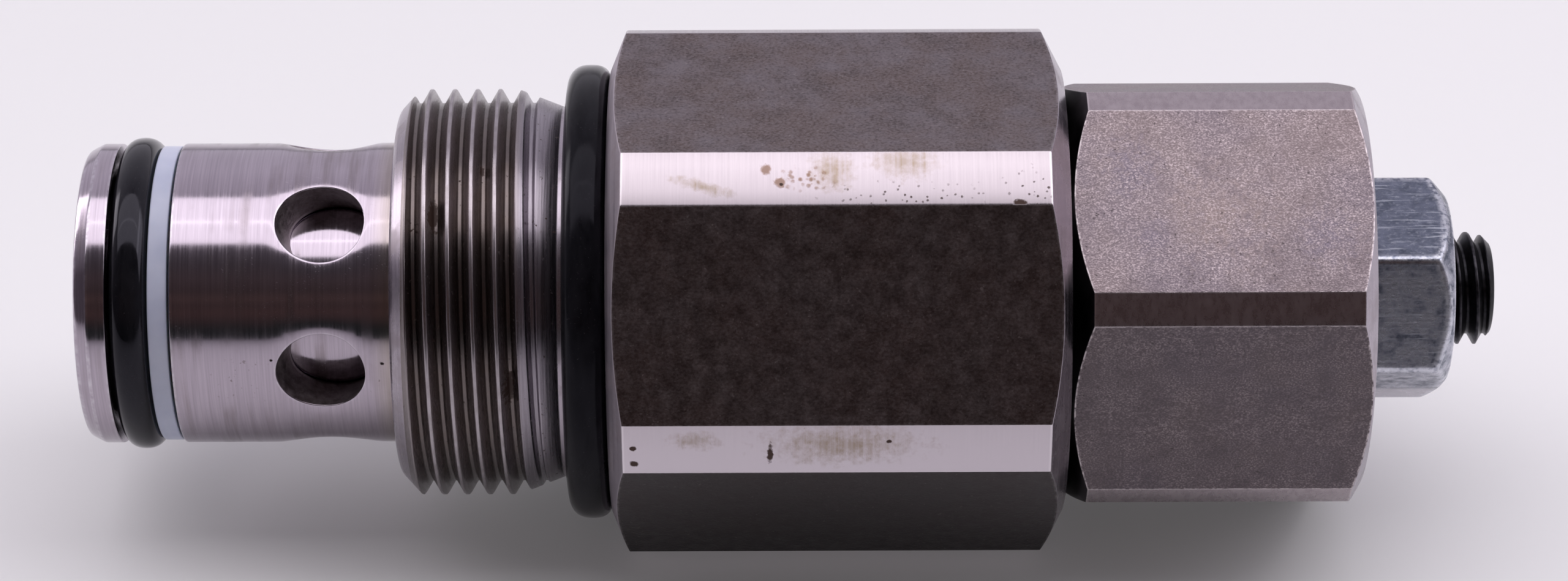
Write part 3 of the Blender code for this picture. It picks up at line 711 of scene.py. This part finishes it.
def rubber(name, shine, smooth, rough):
    """Oiled black nitrile, with slim smeared highlights and a little dust."""
    f = Finish(name)
    film = f.noise(0.4, (1.6, 0.5, 0.5), detail=4, distortion=0.5)
    dust = f.span(f.noise(5.0, detail=2, shift=3), 0.68, 0.75)
    f.base(film, 0.35, 0.65, (0.0035, 0.0035, 0.0045), (0.009, 0.009, 0.011))
    f.paint(dust, (0.2, 0.18, 0.19), 0.12)
    return f.done(f.span(film, 0.35, 0.65, smooth, rough), film, 0.12, 0.1, metallic=0,
                  Specular_IOR_Level=shine, Specular_Tint=(0.86, 0.84, 1.0))


def ptfe():
    """White PTFE with a cool, slightly waxy look."""
    f = Finish("ptfe")
    drift = f.noise(0.18)
    marks = f.noise(3.0, AROUND, detail=2)
    f.base(drift, 0.35, 0.65, (0.455, 0.47, 0.595), (0.56, 0.57, 0.685))
    return f.done(f.span(marks, 0.3, 0.7, 0.28, 0.4), marks, 0.05, metallic=0,
                  Subsurface_Weight=0.1)


def spring_wire():
    """Drawn and oiled spring wire."""
    f = Finish("spring_wire")
    drawn = f.noise(1.4, detail=4)
    f.base(drawn, 0.35, 0.65, (0.16, 0.15, 0.15), (0.34, 0.32, 0.31))
    return f.done(f.span(drawn, 0.3, 0.7, 0.24, 0.4), drawn, 0.1)


GROUND = ground_steel()
DRILLED = drilled_steel()
TURNED = turned_steel("turned_steel", 0.2, 0.3)
DULL_TURNED = turned_steel("dull_turned_steel", 0.46, 0.58)
BAND = band_steel()
THREAD = thread_steel()
BODY_FLAT = body_flat()
CAP_FLAT = cap_flat()
CAP_BAND = cap_band()
PAINTED_SHADE = painted_shade_steel()
ZINC = zinc_plate()
BLACK = black_screw()
RUBBER = rubber("rubber", 0.1, 0.1, 0.22)
OILED_RUBBER = rubber("oiled_rubber", 0.26, 0.05, 0.16)
PTFE = ptfe()
WIRE = spring_wire()


# --- Threads

class Thread:
    """A right-hand thread: its radius at any station and angle."""

    def __init__(self, crest_radius, pitch, crest_station, crest_angle):
        self.crest = crest_radius
        self.pitch = pitch
        self.depth = 0.6134 * pitch
        self.start = crest_station
        self.angle = crest_angle

    def radius(self, station, angles):
        """Flat crests an eighth of a pitch wide, 60 degree flanks, flat roots a quarter wide."""
        phase = (station - self.start) / self.pitch - (angles - self.angle) / TURN
        from_crest = np.abs(phase - np.round(phase)) * self.pitch
        fall = (from_crest - self.pitch / 16) * sqrt(3)
        return self.crest - np.clip(fall, 0.0, self.depth)


# --- The nose

SLEEVE_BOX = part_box("sleeve")
SLEEVE_RADIUS = (SLEEVE_BOX[1].z - SLEEVE_BOX[0].z) / 2 / MM
SLEEVE_FRONT, SLEEVE_TAIL = ends("sleeve")
NOSE_FACE_RADIUS = 12.55
NOSE_CHAMFER = 1.2
INLET_RADIUS = 7.5
SEAT_START, SEAT_END = -32.4, -30.9
POPPET_BORE = 9.75
NOSE_GROOVE = (-43.0, -37.5)
NOSE_GROOVE_RADIUS = 10.3
BODY_FRONT = ends("body")[0]
SHOULDER_GAP = 0.06  # between the sleeve's shoulder and the body
TAIL_RADIUS = 12.85
TAIL_GROOVE = (-9.5, -7.3)
TAIL_GROOVE_RADIUS = 11.1

PORT_COUNT = 6
PORT_SECTOR = TURN / PORT_COUNT
PORT_RADIUS = 3.65
PORT_STATION = -24.8  # where a port's centre line meets the sleeve's surface
PORT_SLANT = radians(17.0)  # the ports lean rearward on their way in
PORT_ELEVATION = 3.5
PORT_CHAMFER = 0.1
PORT_DISH = 0.11  # how far the surface is rounded down at a port's edge
PATCH_REACH = 5.5  # half the axial length of the patch round a port
SECTOR_STEPS = 28  # columns in one port's sixth of the sleeve
PATCH_STEPS = 20  # steps along the patch


def port_patch(cylinder, rings):
    """Offsets along, across and outwards round one port on a cylinder about the axis.

    Each ring is its share of the way from the port's edge to the patch's rectangle, the
    radius of its bore, and how deep it lies below the cylinder.
    """
    half_turn = PORT_SECTOR / 2
    sweep = np.linspace(-half_turn, half_turn, SECTOR_STEPS + 1)
    length = np.linspace(-PATCH_REACH, PATCH_REACH, PATCH_STEPS + 1)
    far_along = np.concatenate([
        np.full(SECTOR_STEPS, -PATCH_REACH), length[:-1],
        np.full(SECTOR_STEPS, PATCH_REACH), length[:0:-1]])
    side = np.full(PATCH_STEPS, half_turn)
    turn = np.concatenate([sweep[:-1], side, sweep[:0:-1], -side])
    far_across = cylinder * np.sin(turn)
    around = np.arctan2(far_across, far_along)
    layers = []
    for share, bore, sunk in rings:
        near_across = bore * np.sin(around)
        near_height = np.sqrt(cylinder ** 2 - near_across ** 2) - sunk
        near_along = (bore * np.cos(around) / cos(PORT_SLANT)
                      - (near_height - SLEEVE_RADIUS) * tan(PORT_SLANT))
        along = (1 - share) * near_along + share * far_along
        across = (1 - share) * near_across + share * far_across
        layers.append((along, across, np.sqrt(cylinder ** 2 - across ** 2) - sunk))
    return layers


def port_point(port, along, across, height):
    """World points beside a port, from offsets along the axis, across the drill and outwards."""
    angle = facing(PORT_ELEVATION) + PORT_SECTOR * port
    return np.stack([
        SHOULDER_X + (PORT_STATION + along) * MM,
        (height * cos(angle) - across * sin(angle)) * MM,
        (height * sin(angle) + across * cos(angle)) * MM,
    ], axis=-1)


def port_mesh(port):
    """Outer patch, drilled wall and inner patch of one port, with slot 1 on the wall."""
    eased = [share ** 1.5 for share in np.linspace(0, 1, 11)]
    rim = PORT_RADIUS + PORT_CHAMFER
    outer = port_patch(SLEEVE_RADIUS, [(s, rim, PORT_DISH * (1 - s) ** 4) for s in reversed(eased)])
    rounded = port_patch(SLEEVE_RADIUS, [
        (0.0, PORT_RADIUS + 0.4 * PORT_CHAMFER, PORT_DISH + 0.3 * PORT_CHAMFER),
        (0.0, PORT_RADIUS, PORT_DISH + PORT_CHAMFER),
        (0.0, PORT_RADIUS, PORT_DISH + 2 * PORT_CHAMFER)])
    inner = port_patch(POPPET_BORE, [(0.0, PORT_RADIUS, -0.3)]
                       + [(s, PORT_RADIUS, 0.0) for s in eased])
    layers = outer + rounded + inner
    worn = np.zeros(len(layers))
    worn[len(outer) - 1:len(outer) + 2] = 0.6, 1.0, 1.0
    on_wall = np.zeros(len(layers) - 1)
    on_wall[len(outer) + 1:len(outer) + len(rounded) + 1] = 1
    count = len(layers[0][0])
    rings = np.arange(len(layers) * count).reshape(-1, count)
    quads = [ring_of_quads(here, there) for here, there in zip(rings, rings[1:])]
    return (np.concatenate([port_point(port, *layer) for layer in layers]),
            np.concatenate(quads), np.repeat(worn, count), np.repeat(on_wall, count))


def make_sleeve():
    """Ported sleeve: nose, seal groove, six drilled ports, shoulder and sealed tail."""
    columns = round_columns(PORT_COUNT * SECTOR_STEPS, facing(PORT_ELEVATION) + PORT_SECTOR / 2)
    front, rear = PORT_STATION - PATCH_REACH, PORT_STATION + PATCH_REACH
    nose = Rows(columns)
    nose.profile([
        (SLEEVE_RADIUS, front), (SLEEVE_RADIUS, NOSE_GROOVE[1], 0.12),
        (NOSE_GROOVE_RADIUS, NOSE_GROOVE[1], 0.1), (NOSE_GROOVE_RADIUS, NOSE_GROOVE[0], 0.1),
        (SLEEVE_RADIUS, NOSE_GROOVE[0], 0.12),
        (SLEEVE_RADIUS, SLEEVE_FRONT + NOSE_CHAMFER, 0.1),
        (NOSE_FACE_RADIUS, SLEEVE_FRONT, 0.25), (INLET_RADIUS + 0.6, SLEEVE_FRONT, 0.1),
        (INLET_RADIUS, SLEEVE_FRONT + 0.6, 0.1), (INLET_RADIUS, SEAT_START, 0.08),
        (POPPET_BORE, SEAT_END, 0.08), (POPPET_BORE, front),
    ])
    tail = Rows(columns)
    tail.profile([
        (SLEEVE_RADIUS, rear), (SLEEVE_RADIUS, BODY_FRONT - SHOULDER_GAP, 0.1),
        (TAIL_RADIUS, BODY_FRONT - SHOULDER_GAP), (TAIL_RADIUS, TAIL_GROOVE[0], 0.1),
        (TAIL_GROOVE_RADIUS, TAIL_GROOVE[0], 0.1), (TAIL_GROOVE_RADIUS, TAIL_GROOVE[1], 0.1),
        (TAIL_RADIUS, TAIL_GROOVE[1], 0.1), (TAIL_RADIUS, SLEEVE_TAIL, 0.3),
        (POPPET_BORE, SLEEVE_TAIL, 0.3), (POPPET_BORE, rear),
    ])
    turned = [loft(rows, False)[:3] for rows in (nose, tail)]
    pieces = [(*piece, np.zeros(len(piece[1]))) for piece in turned]
    pieces += [port_mesh(port) for port in range(PORT_COUNT)]
    sleeve = make_mesh("sleeve_ground", *joined(pieces), [GROUND, DRILLED])
    settle(sleeve, "housing", "sleeve")


def make_main_poppet():
    """Polished hollow poppet, with its cone and the bore for the orifice plug."""
    front, tail = ends("main_poppet")
    outside, hollow, plug_bore, floor = 9.62, 6.9, 2.2, -27.8
    rows = Rows(round_columns(144))
    rows.profile([
        (outside, tail, 0.25), (outside, front + 1.63, 0.12), (7.0, front, 0.15),
        (plug_bore, front, 0.1), (plug_bore, floor), (hollow, floor, 0.4), (hollow, tail, 0.2),
    ], closed=True)
    turned_piece("main_poppet_ground", "main_poppet", "main_poppet", rows, GROUND)


def make_damping_orifice():
    """Orifice plug with its fine bore and a small hexagon socket in the front."""
    front, rear = ends("damping_orifice")
    columns = round_columns(72)
    outside, half_socket, fine_bore = 2.1, 1.0, 0.5
    socket = half_socket / np.cos(from_flat(columns))
    rows = Rows(columns)
    rows.profile([(outside, rear, 0.2), (outside, front, 0.2)])
    rows.add(socket + 0.1, front, 1.0)
    rows.add(socket, front + 0.1)
    rows.add(socket, front + 1.4)
    rows.add(fine_bore, front + 1.6)
    rows.add(fine_bore, rear)
    turned_piece("damping_orifice_plug", "main_poppet", "damping_orifice",
                 rows, TURNED)


# --- Seals

RING_COLUMNS = 180
RING_SIDES = 36
RING_POWER = 2.3  # 2 makes a round section, and more squares it off


def make_o_ring(name, node, body, inner, outer, front, rear, finish=RUBBER, power=RING_POWER):
    """A rubber ring of nearly round section; power squares off its rear half."""
    middle_r, middle_s = (inner + outer) / 2, (front + rear) / 2
    half_r, half_s = (outer - inner) / 2, (rear - front) / 2
    rows = Rows(round_columns(RING_COLUMNS))
    for side in range(RING_SIDES):
        angle = TURN * side / RING_SIDES
        across, up = cos(angle), sin(angle)
        here = power if up > 0 else RING_POWER
        bulge = (abs(across) ** here + abs(up) ** here) ** (-1 / here)
        rows.add(middle_r + half_r * bulge * across, middle_s + half_s * bulge * up)
    turned_piece(name, body, node, rows, finish)


def make_backup_ring(name, node, body, inner, outer, front, rear):
    """A square-cut PTFE ring with softened corners."""
    rows = Rows(round_columns(RING_COLUMNS))
    rows.profile([
        (outer, rear, 0.14), (outer, front, 0.14), (inner, front, 0.14), (inner, rear, 0.14),
    ], closed=True)
    turned_piece(name, body, node, rows, PTFE)


# --- The body

THREAD_STEP = 0.08  # station between rows on the body's thread
THREAD_FADE = 0.06  # millimetres over which its crests fade at its ends
BODY_THREAD = Thread(17.88, 2.0, -15.8, facing(125.85))
BODY_FLATS = 42.1
BODY_CORNER = 23.0
HEX_FACE = 19.5
FRONT_CHAMFER = (BODY_CORNER - HEX_FACE, 1.4)  # radial and axial size
REAR_CHAMFER = (BODY_CORNER - HEX_FACE, 1.8)
GROOVE_RADIUS = 16.3
GROOVE_FRONT = -4.2
RUN_OUT_SLOPE = 0.39
LEAD_RADIUS = 15.95  # where the lead chamfer meets the front face
LEAD_END = (17.2, -17.35)  # where the thread starts on the lead chamfer
LEAD_ROUND = 0.45
BODY_BORE = 13.05


def body_thread_rows(rows):
    """The thread from the seal groove forward, and the plain lead chamfer before it."""
    slope = (LEAD_END[0] - LEAD_RADIUS) / (LEAD_END[1] - BODY_FRONT)
    station = GROOVE_FRONT
    while station > BODY_FRONT + 2 * LEAD_ROUND:
        run_out = GROOVE_RADIUS + RUN_OUT_SLOPE * (GROOVE_FRONT - station)
        lead = LEAD_RADIUS + slope * (station - BODY_FRONT)
        if station > LEAD_END[1]:
            radius = BODY_THREAD.radius(station, rows.angles)
            rows.add(smooth_min(radius, min(run_out, lead), THREAD_FADE), station, surface="thread")
        else:
            rows.add(lead, station, surface="bright")
        station -= THREAD_STEP
    rows.profile([
        (LEAD_RADIUS + slope * 2 * LEAD_ROUND, BODY_FRONT + 2 * LEAD_ROUND),
        (LEAD_RADIUS, BODY_FRONT, LEAD_ROUND), (BODY_BORE + 0.25, BODY_FRONT),
    ], "bright")


def make_body():
    """Threaded body with its seal groove, large hexagon and stepped bore."""
    shape = Hexagon(BODY_FLATS, BODY_CORNER, facing(0.0))
    outline = shape.radius
    cap_bore, guide, pilot_bore, passage = 12.2, 9.3, 8.15, 5.0
    rear = BODY_REAR - (outline - HEX_FACE) * REAR_CHAMFER[1] / REAR_CHAMFER[0]
    front = (outline - HEX_FACE) * FRONT_CHAMFER[1] / FRONT_CHAMFER[0]
    rows = Rows(shape.angles)
    rows.profile([
        (cap_bore, 26.5), (cap_bore, BODY_REAR, 0.2, "shade"), (HEX_FACE, BODY_REAR, 0.12),
        (outline, rear, 0.1, "side"), (outline, front, 0.1, "front chamfer"),
        (HEX_FACE, 0.0, 0.12), (GROOVE_RADIUS, 0.0, 0.15),
        (GROOVE_RADIUS, GROOVE_FRONT + 0.1),
    ], "bright")
    body_thread_rows(rows)
    rows.profile([
        (BODY_BORE, BODY_FRONT + 0.25), (BODY_BORE, -3.0), (passage, -3.0, 0.1),
        (passage, -1.0, 0.1), (pilot_bore, -1.0), (pilot_bore, 10.2), (guide, 10.2), (guide, 25.5),
    ], "bright")
    # The body's rear face takes the dark painted shade steel.
    turned_piece("body_machined", "housing", "body", rows, {
        "side": BODY_FLAT, "band": BAND, "bright": TURNED, "front chamfer": DULL_TURNED,
        "thread": THREAD, "shade": PAINTED_SHADE}, shape=shape)


# --- The cap, nut and screw

CAP_FLATS = 35.6
CAP_CORNER = 19.77
CAP_GAP = 0.05  # between the body and the cap
CAP_REAR_FACE = 17.5  # radii where the chamfers meet the end faces
CAP_FRONT_FACE = 17.7
CAP_REAR_SLOPE = 1.35 / 2.3
CAP_FRONT_SLOPE = 1.5 / 2.1
NUT_FLATS = 17.6
NUT_FILLET = 0.75  # rounding of its long edges
SCREW_STEP = 0.06  # station between rows on the screw's thread


def make_cap():
    """Hexagonal cap with a chamfer at each end, and its spigot inside the body."""
    shape = Hexagon(CAP_FLATS, CAP_CORNER, facing(30.8))
    outline = shape.radius
    spigot_front, rear = ends("cap")
    front = BODY_REAR + CAP_GAP
    rear_edge = rear - (outline - CAP_REAR_FACE) * CAP_REAR_SLOPE
    front_edge = front + 0.25 + (outline - CAP_FRONT_FACE) * CAP_FRONT_SLOPE
    spigot, groove, bore, screw_hole = 12.0, 10.4, 8.3, 5.1
    rows = Rows(shape.angles)
    rows.profile([
        (screw_hole, rear, 0.1), (CAP_REAR_FACE, rear, 0.12), (outline, rear_edge, 0.08, "side"),
        (outline, front_edge, 0.08, "shade"), (CAP_FRONT_FACE, front, 0.1, "shade"),
        (spigot, front), (spigot, 38.6), (groove, 38.6), (groove, 36.0), (spigot, 36.0),
        (spigot, spigot_front + 0.7), (spigot - 0.7, spigot_front), (bore, spigot_front),
        (bore, 54.5), (screw_hole, 55.5),
    ], "bright", closed=True)
    # The cap's front chamfer and front face take the dark painted shade steel.
    turned_piece("cap_machined", "housing", "cap", rows, {
        "side": CAP_FLAT, "band": CAP_BAND, "bright": TURNED, "shade": PAINTED_SHADE}, shape=shape)


def make_lock_nut():
    """Plated lock nut, chamfered on its outer end, with the lead-in of its thread."""
    front, rear_face = ends("lock_nut")
    seat = front - 0.25
    face_radius, chamfer_slope = 8.2, 0.84
    shape = RoundedHexagon(NUT_FLATS, NUT_FILLET, facing(50.0))
    outline = shape.radius
    rear = rear_face - (outline - face_radius) * chamfer_slope
    rows = Rows(shape.angles)
    rows.profile([
        (5.6, rear_face, 0.08), (face_radius, rear_face, 0.15), (outline, rear, 0.32, "side"),
        (outline, seat, 0.18), (5.0, seat), (4.98, rear_face - 0.6),
    ], closed=True)
    turned_piece("lock_nut_plated", "lock_nut", "lock_nut", rows, ZINC, shape=shape)


def make_adjusting_screw():
    """Black set screw: thread on the exposed end, chamfered end and hexagon socket."""
    front, rear = ends("adjusting_screw")
    thread = Thread(4.95, 1.5, 75.2, facing(125.85))
    shank, end_radius, half_socket = 4.85, 3.9, 2.5
    columns = round_columns(96)
    rows = Rows(columns)
    rows.profile([
        (0, front), (end_radius, front), (shank, front + 1.0), (shank, rear - 8.0),
    ])
    station = rear - 7.9
    while station < rear - 0.01:
        envelope = end_radius + 0.05 + 1.05 * (rear - station)
        radius = np.minimum(thread.radius(station, columns), envelope)
        rows.add(radius, station)
        station += SCREW_STEP
    rows.add(end_radius, rear, 1.0)
    socket = half_socket / np.cos(from_flat(columns))
    rows.add(socket + 0.12, rear, 1.0)
    rows.add(socket, rear - 0.12)
    rows.add(socket, rear - 5.5)
    rows.add(0.0, rear - 6.2)
    turned_piece("adjusting_screw_black", "adjusting_screw", "adjusting_screw",
                 rows, BLACK, closed=False)


# --- Springs

CLOSED_PITCH = 2.1  # pitch of a spring's end turns, in wire radii
TURN_STEPS = 40
WIRE_SIDES = 14


def make_spring(name, node, radius, wire, turns, begin, end):
    """Wire wound between its CAD node's ends: the turns from begin to end.

    It is squeezed between two bodies.
    """
    front, rear = ends(node)
    first, last = front + wire, rear - wire
    dead = CLOSED_PITCH * wire
    live = (last - first - 2 * dead) / (turns - 2)

    def station_of(turn):
        return first + min(turn, 1.0) * dead + np.clip(turn - 1.0, 0.0, turns - 2.0) * live \
            + max(0.0, turn - turns + 1.0) * dead

    points, faces = [], []
    count = (end - begin) * TURN_STEPS
    for step in range(count + 1):
        turn = begin + step / TURN_STEPS
        angle = TURN * turn
        for side in range(WIRE_SIDES):
            lean = TURN * side / WIRE_SIDES
            out = radius + wire * cos(lean)
            points.append((SHOULDER_X + (station_of(turn) + wire * sin(lean)) * MM,
                           out * sin(angle) * MM, out * cos(angle) * MM))
            ahead = (side + 1) % WIRE_SIDES
            if step < count:
                here, there = step * WIRE_SIDES, (step + 1) * WIRE_SIDES
                faces.append((here + side, here + ahead, there + ahead, there + side))
    faces.append(tuple(range(WIRE_SIDES)))
    faces.append(tuple(range(count * WIRE_SIDES, (count + 1) * WIRE_SIDES)))
    unworn, slots = np.zeros(len(points)), [0] * len(faces)
    piece = make_mesh(name, np.array(points), faces, unworn, slots, [WIRE])
    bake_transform(piece)
    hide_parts(node)


make_spring("main_spring_wire", "main_spring", 5.9, 0.6, 7, 0, 7)
make_spring("pilot_spring_front_turns", "pilot_spring", 3.3, 0.9, 8,
            0, 4)
make_spring("pilot_spring_rear_turns", "pilot_spring", 3.3, 0.9, 8,
            4, 8)

make_sleeve()
make_main_poppet()
make_damping_orifice()
make_body()
make_cap()
make_lock_nut()
make_adjusting_screw()
make_o_ring("nose_o_ring_rubber", "nose_o_ring", "housing", 10.45, 13.7, -42.75, -39.45,
            OILED_RUBBER)
make_o_ring("body_o_ring_rubber", "body_o_ring", "housing", 16.35, 19.98, -3.75, -0.02, power=2.9)
make_backup_ring("nose_backup_ring_ptfe", "nose_backup_ring", "housing", 10.5, 12.95, -39.4, -37.72)


def dress(finish, *nodes):
    """Give CAD nodes that are kept as they are a procedural finish."""
    for node in nodes:
        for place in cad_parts[node].material_slots:
            place.material = finish


dress(RUBBER, "sleeve_o_ring", "pilot_seat_o_ring", "spring_seat_o_ring", "cap_o_ring")
dress(PTFE, "pilot_seat_backup_ring", "spring_seat_backup_ring")
dress(GROUND, "pilot_seat", "pilot_poppet", "spring_seat")


# --- Studio

CAMERA_DISTANCE = 0.406
CAMERA_ELEVATION = radians(35.85)
CAMERA_LENS = 105.6
CAMERA_ROLL = radians(0.22)
CAMERA_X = -0.0006


def make_camera():
    data = bpy.data.cameras.new("camera")
    data.lens = CAMERA_LENS
    data.sensor_width = 36.0
    data.clip_start = 0.01
    camera = linked("camera", data)
    away = Vector((0.0, -cos(CAMERA_ELEVATION), sin(CAMERA_ELEVATION)))
    camera.matrix_world = (Matrix.Translation(Vector((CAMERA_X, 0, 0)) + CAMERA_DISTANCE * away)
                           @ Matrix.Rotation(radians(90) - CAMERA_ELEVATION, 4, "X")
                           @ Matrix.Rotation(-CAMERA_ROLL, 4, "Z"))
    bpy.context.scene.camera = camera


def make_softbox(name, place, aim, size, power, color):
    """A rectangular area light that faces a point."""
    data = bpy.data.lights.new(name, "AREA")
    data.shape = "RECTANGLE"
    data.size, data.size_y = size
    data.energy = power
    data.color = color
    light = linked(name, data)
    place, aim = Vector(place), Vector(aim)
    light.location = place
    light.rotation_euler = (aim - place).to_track_quat("-Z", "Y").to_euler()


# What a level mirror facing the camera's side would show, from the floor's horizon in front
# (0 degrees) over the top (90) to the horizon behind (180).
ROOM = [
    (-8, (0.022, 0.026, 0.026)), (8, (0.024, 0.026, 0.026)), (13, (0.05, 0.037, 0.036)),
    (20, (0.085, 0.052, 0.048)), (26, (0.065, 0.044, 0.042)), (31, (0.095, 0.062, 0.057)),
    (37, (0.062, 0.045, 0.045)), (46, (0.08, 0.06, 0.062)), (58, (0.07, 0.06, 0.066)),
    (70, (0.1, 0.09, 0.102)), (75, (0.42, 0.39, 0.45)), (113, (0.48, 0.45, 0.52)),
    (121, (0.66, 0.62, 0.7)), (142, (0.78, 0.74, 0.83)), (188, (0.72, 0.68, 0.77))]


def make_world():
    """A dark room behind the camera, a pale grey studio behind and beside the valve."""
    world = bpy.data.worlds.new("studio")
    bpy.context.scene.world = world
    world.use_nodes = True
    n = Nodes(world.node_tree)
    coordinates = n.put("TexCoord")
    split = n.put("SeparateXYZ", {0: coordinates.outputs["Generated"]})
    ahead = n.maths("MULTIPLY", split.outputs["Y"], -1.0)
    elevation = n.maths("ARCTAN2", split.outputs["Z"], ahead)
    low, high = radians(ROOM[0][0]), radians(ROOM[-1][0])
    ramp = n.put("ValToRGB", {0: n.span(elevation, low, high)})
    stops = ramp.color_ramp.elements
    for i, (place, color) in enumerate(ROOM):
        share = (radians(place) - low) / (high - low)
        stop = stops[0] if i == 0 else stops[-1] if i == len(ROOM) - 1 else stops.new(share)
        stop.color = (*color, 1.0)
    beside = n.span(n.maths("ABSOLUTE", split.outputs["X"]), 0.5, 0.85)
    rising = n.span(elevation, radians(60), radians(125))
    walls = n.mix(rising, (0.1, 0.085, 0.1), (0.5, 0.46, 0.53))
    background = world.node_tree.nodes["Background"]
    n.fill(background.inputs["Color"], n.mix(beside, ramp.outputs[0], walls))


def make_floor():
    """A plain pale floor under the valve."""
    low = CAD_BOX[0][2]
    half = 2.5
    mesh = bpy.data.meshes.new("floor")
    corners = [(-half, -half, low), (half, -half, low), (half, half, low), (-half, half, low)]
    mesh.from_pydata(corners, [], [(0, 1, 2, 3)])
    floor = linked("floor", mesh)
    f = Finish("floor")
    f.color = (0.76, 0.76, 0.765)
    mesh.materials.append(f.done(0.7, metallic=0, Emission_Color=(1.0, 0.99, 1.0),
                                 Emission_Strength=0.07))


make_camera()
make_world()
make_floor()
make_softbox("softbox_top", (0, 0.018, 0.35), (0, 0.018, 0), (0.9, 0.255), 1.24, (1, 0.96, 0.99))
make_softbox("tube_top", (0, 0.003, 0.345), (0, 0.003, 0), (0.9, 0.007), 0.035, (1, 0.97, 1))
make_softbox("softbox_left", (-0.64, 0.29, 0.2), (0, 0, 0), (0.26, 0.36), 0.98, (1, 0.95, 0.98))
make_softbox("softbox_right", (0.55, 0.05, 0.35), (0, 0, 0), (0.4, 0.4), 1.0, (0.97, 0.94, 1))
bpy.context.scene.view_settings.view_transform = "Standard"
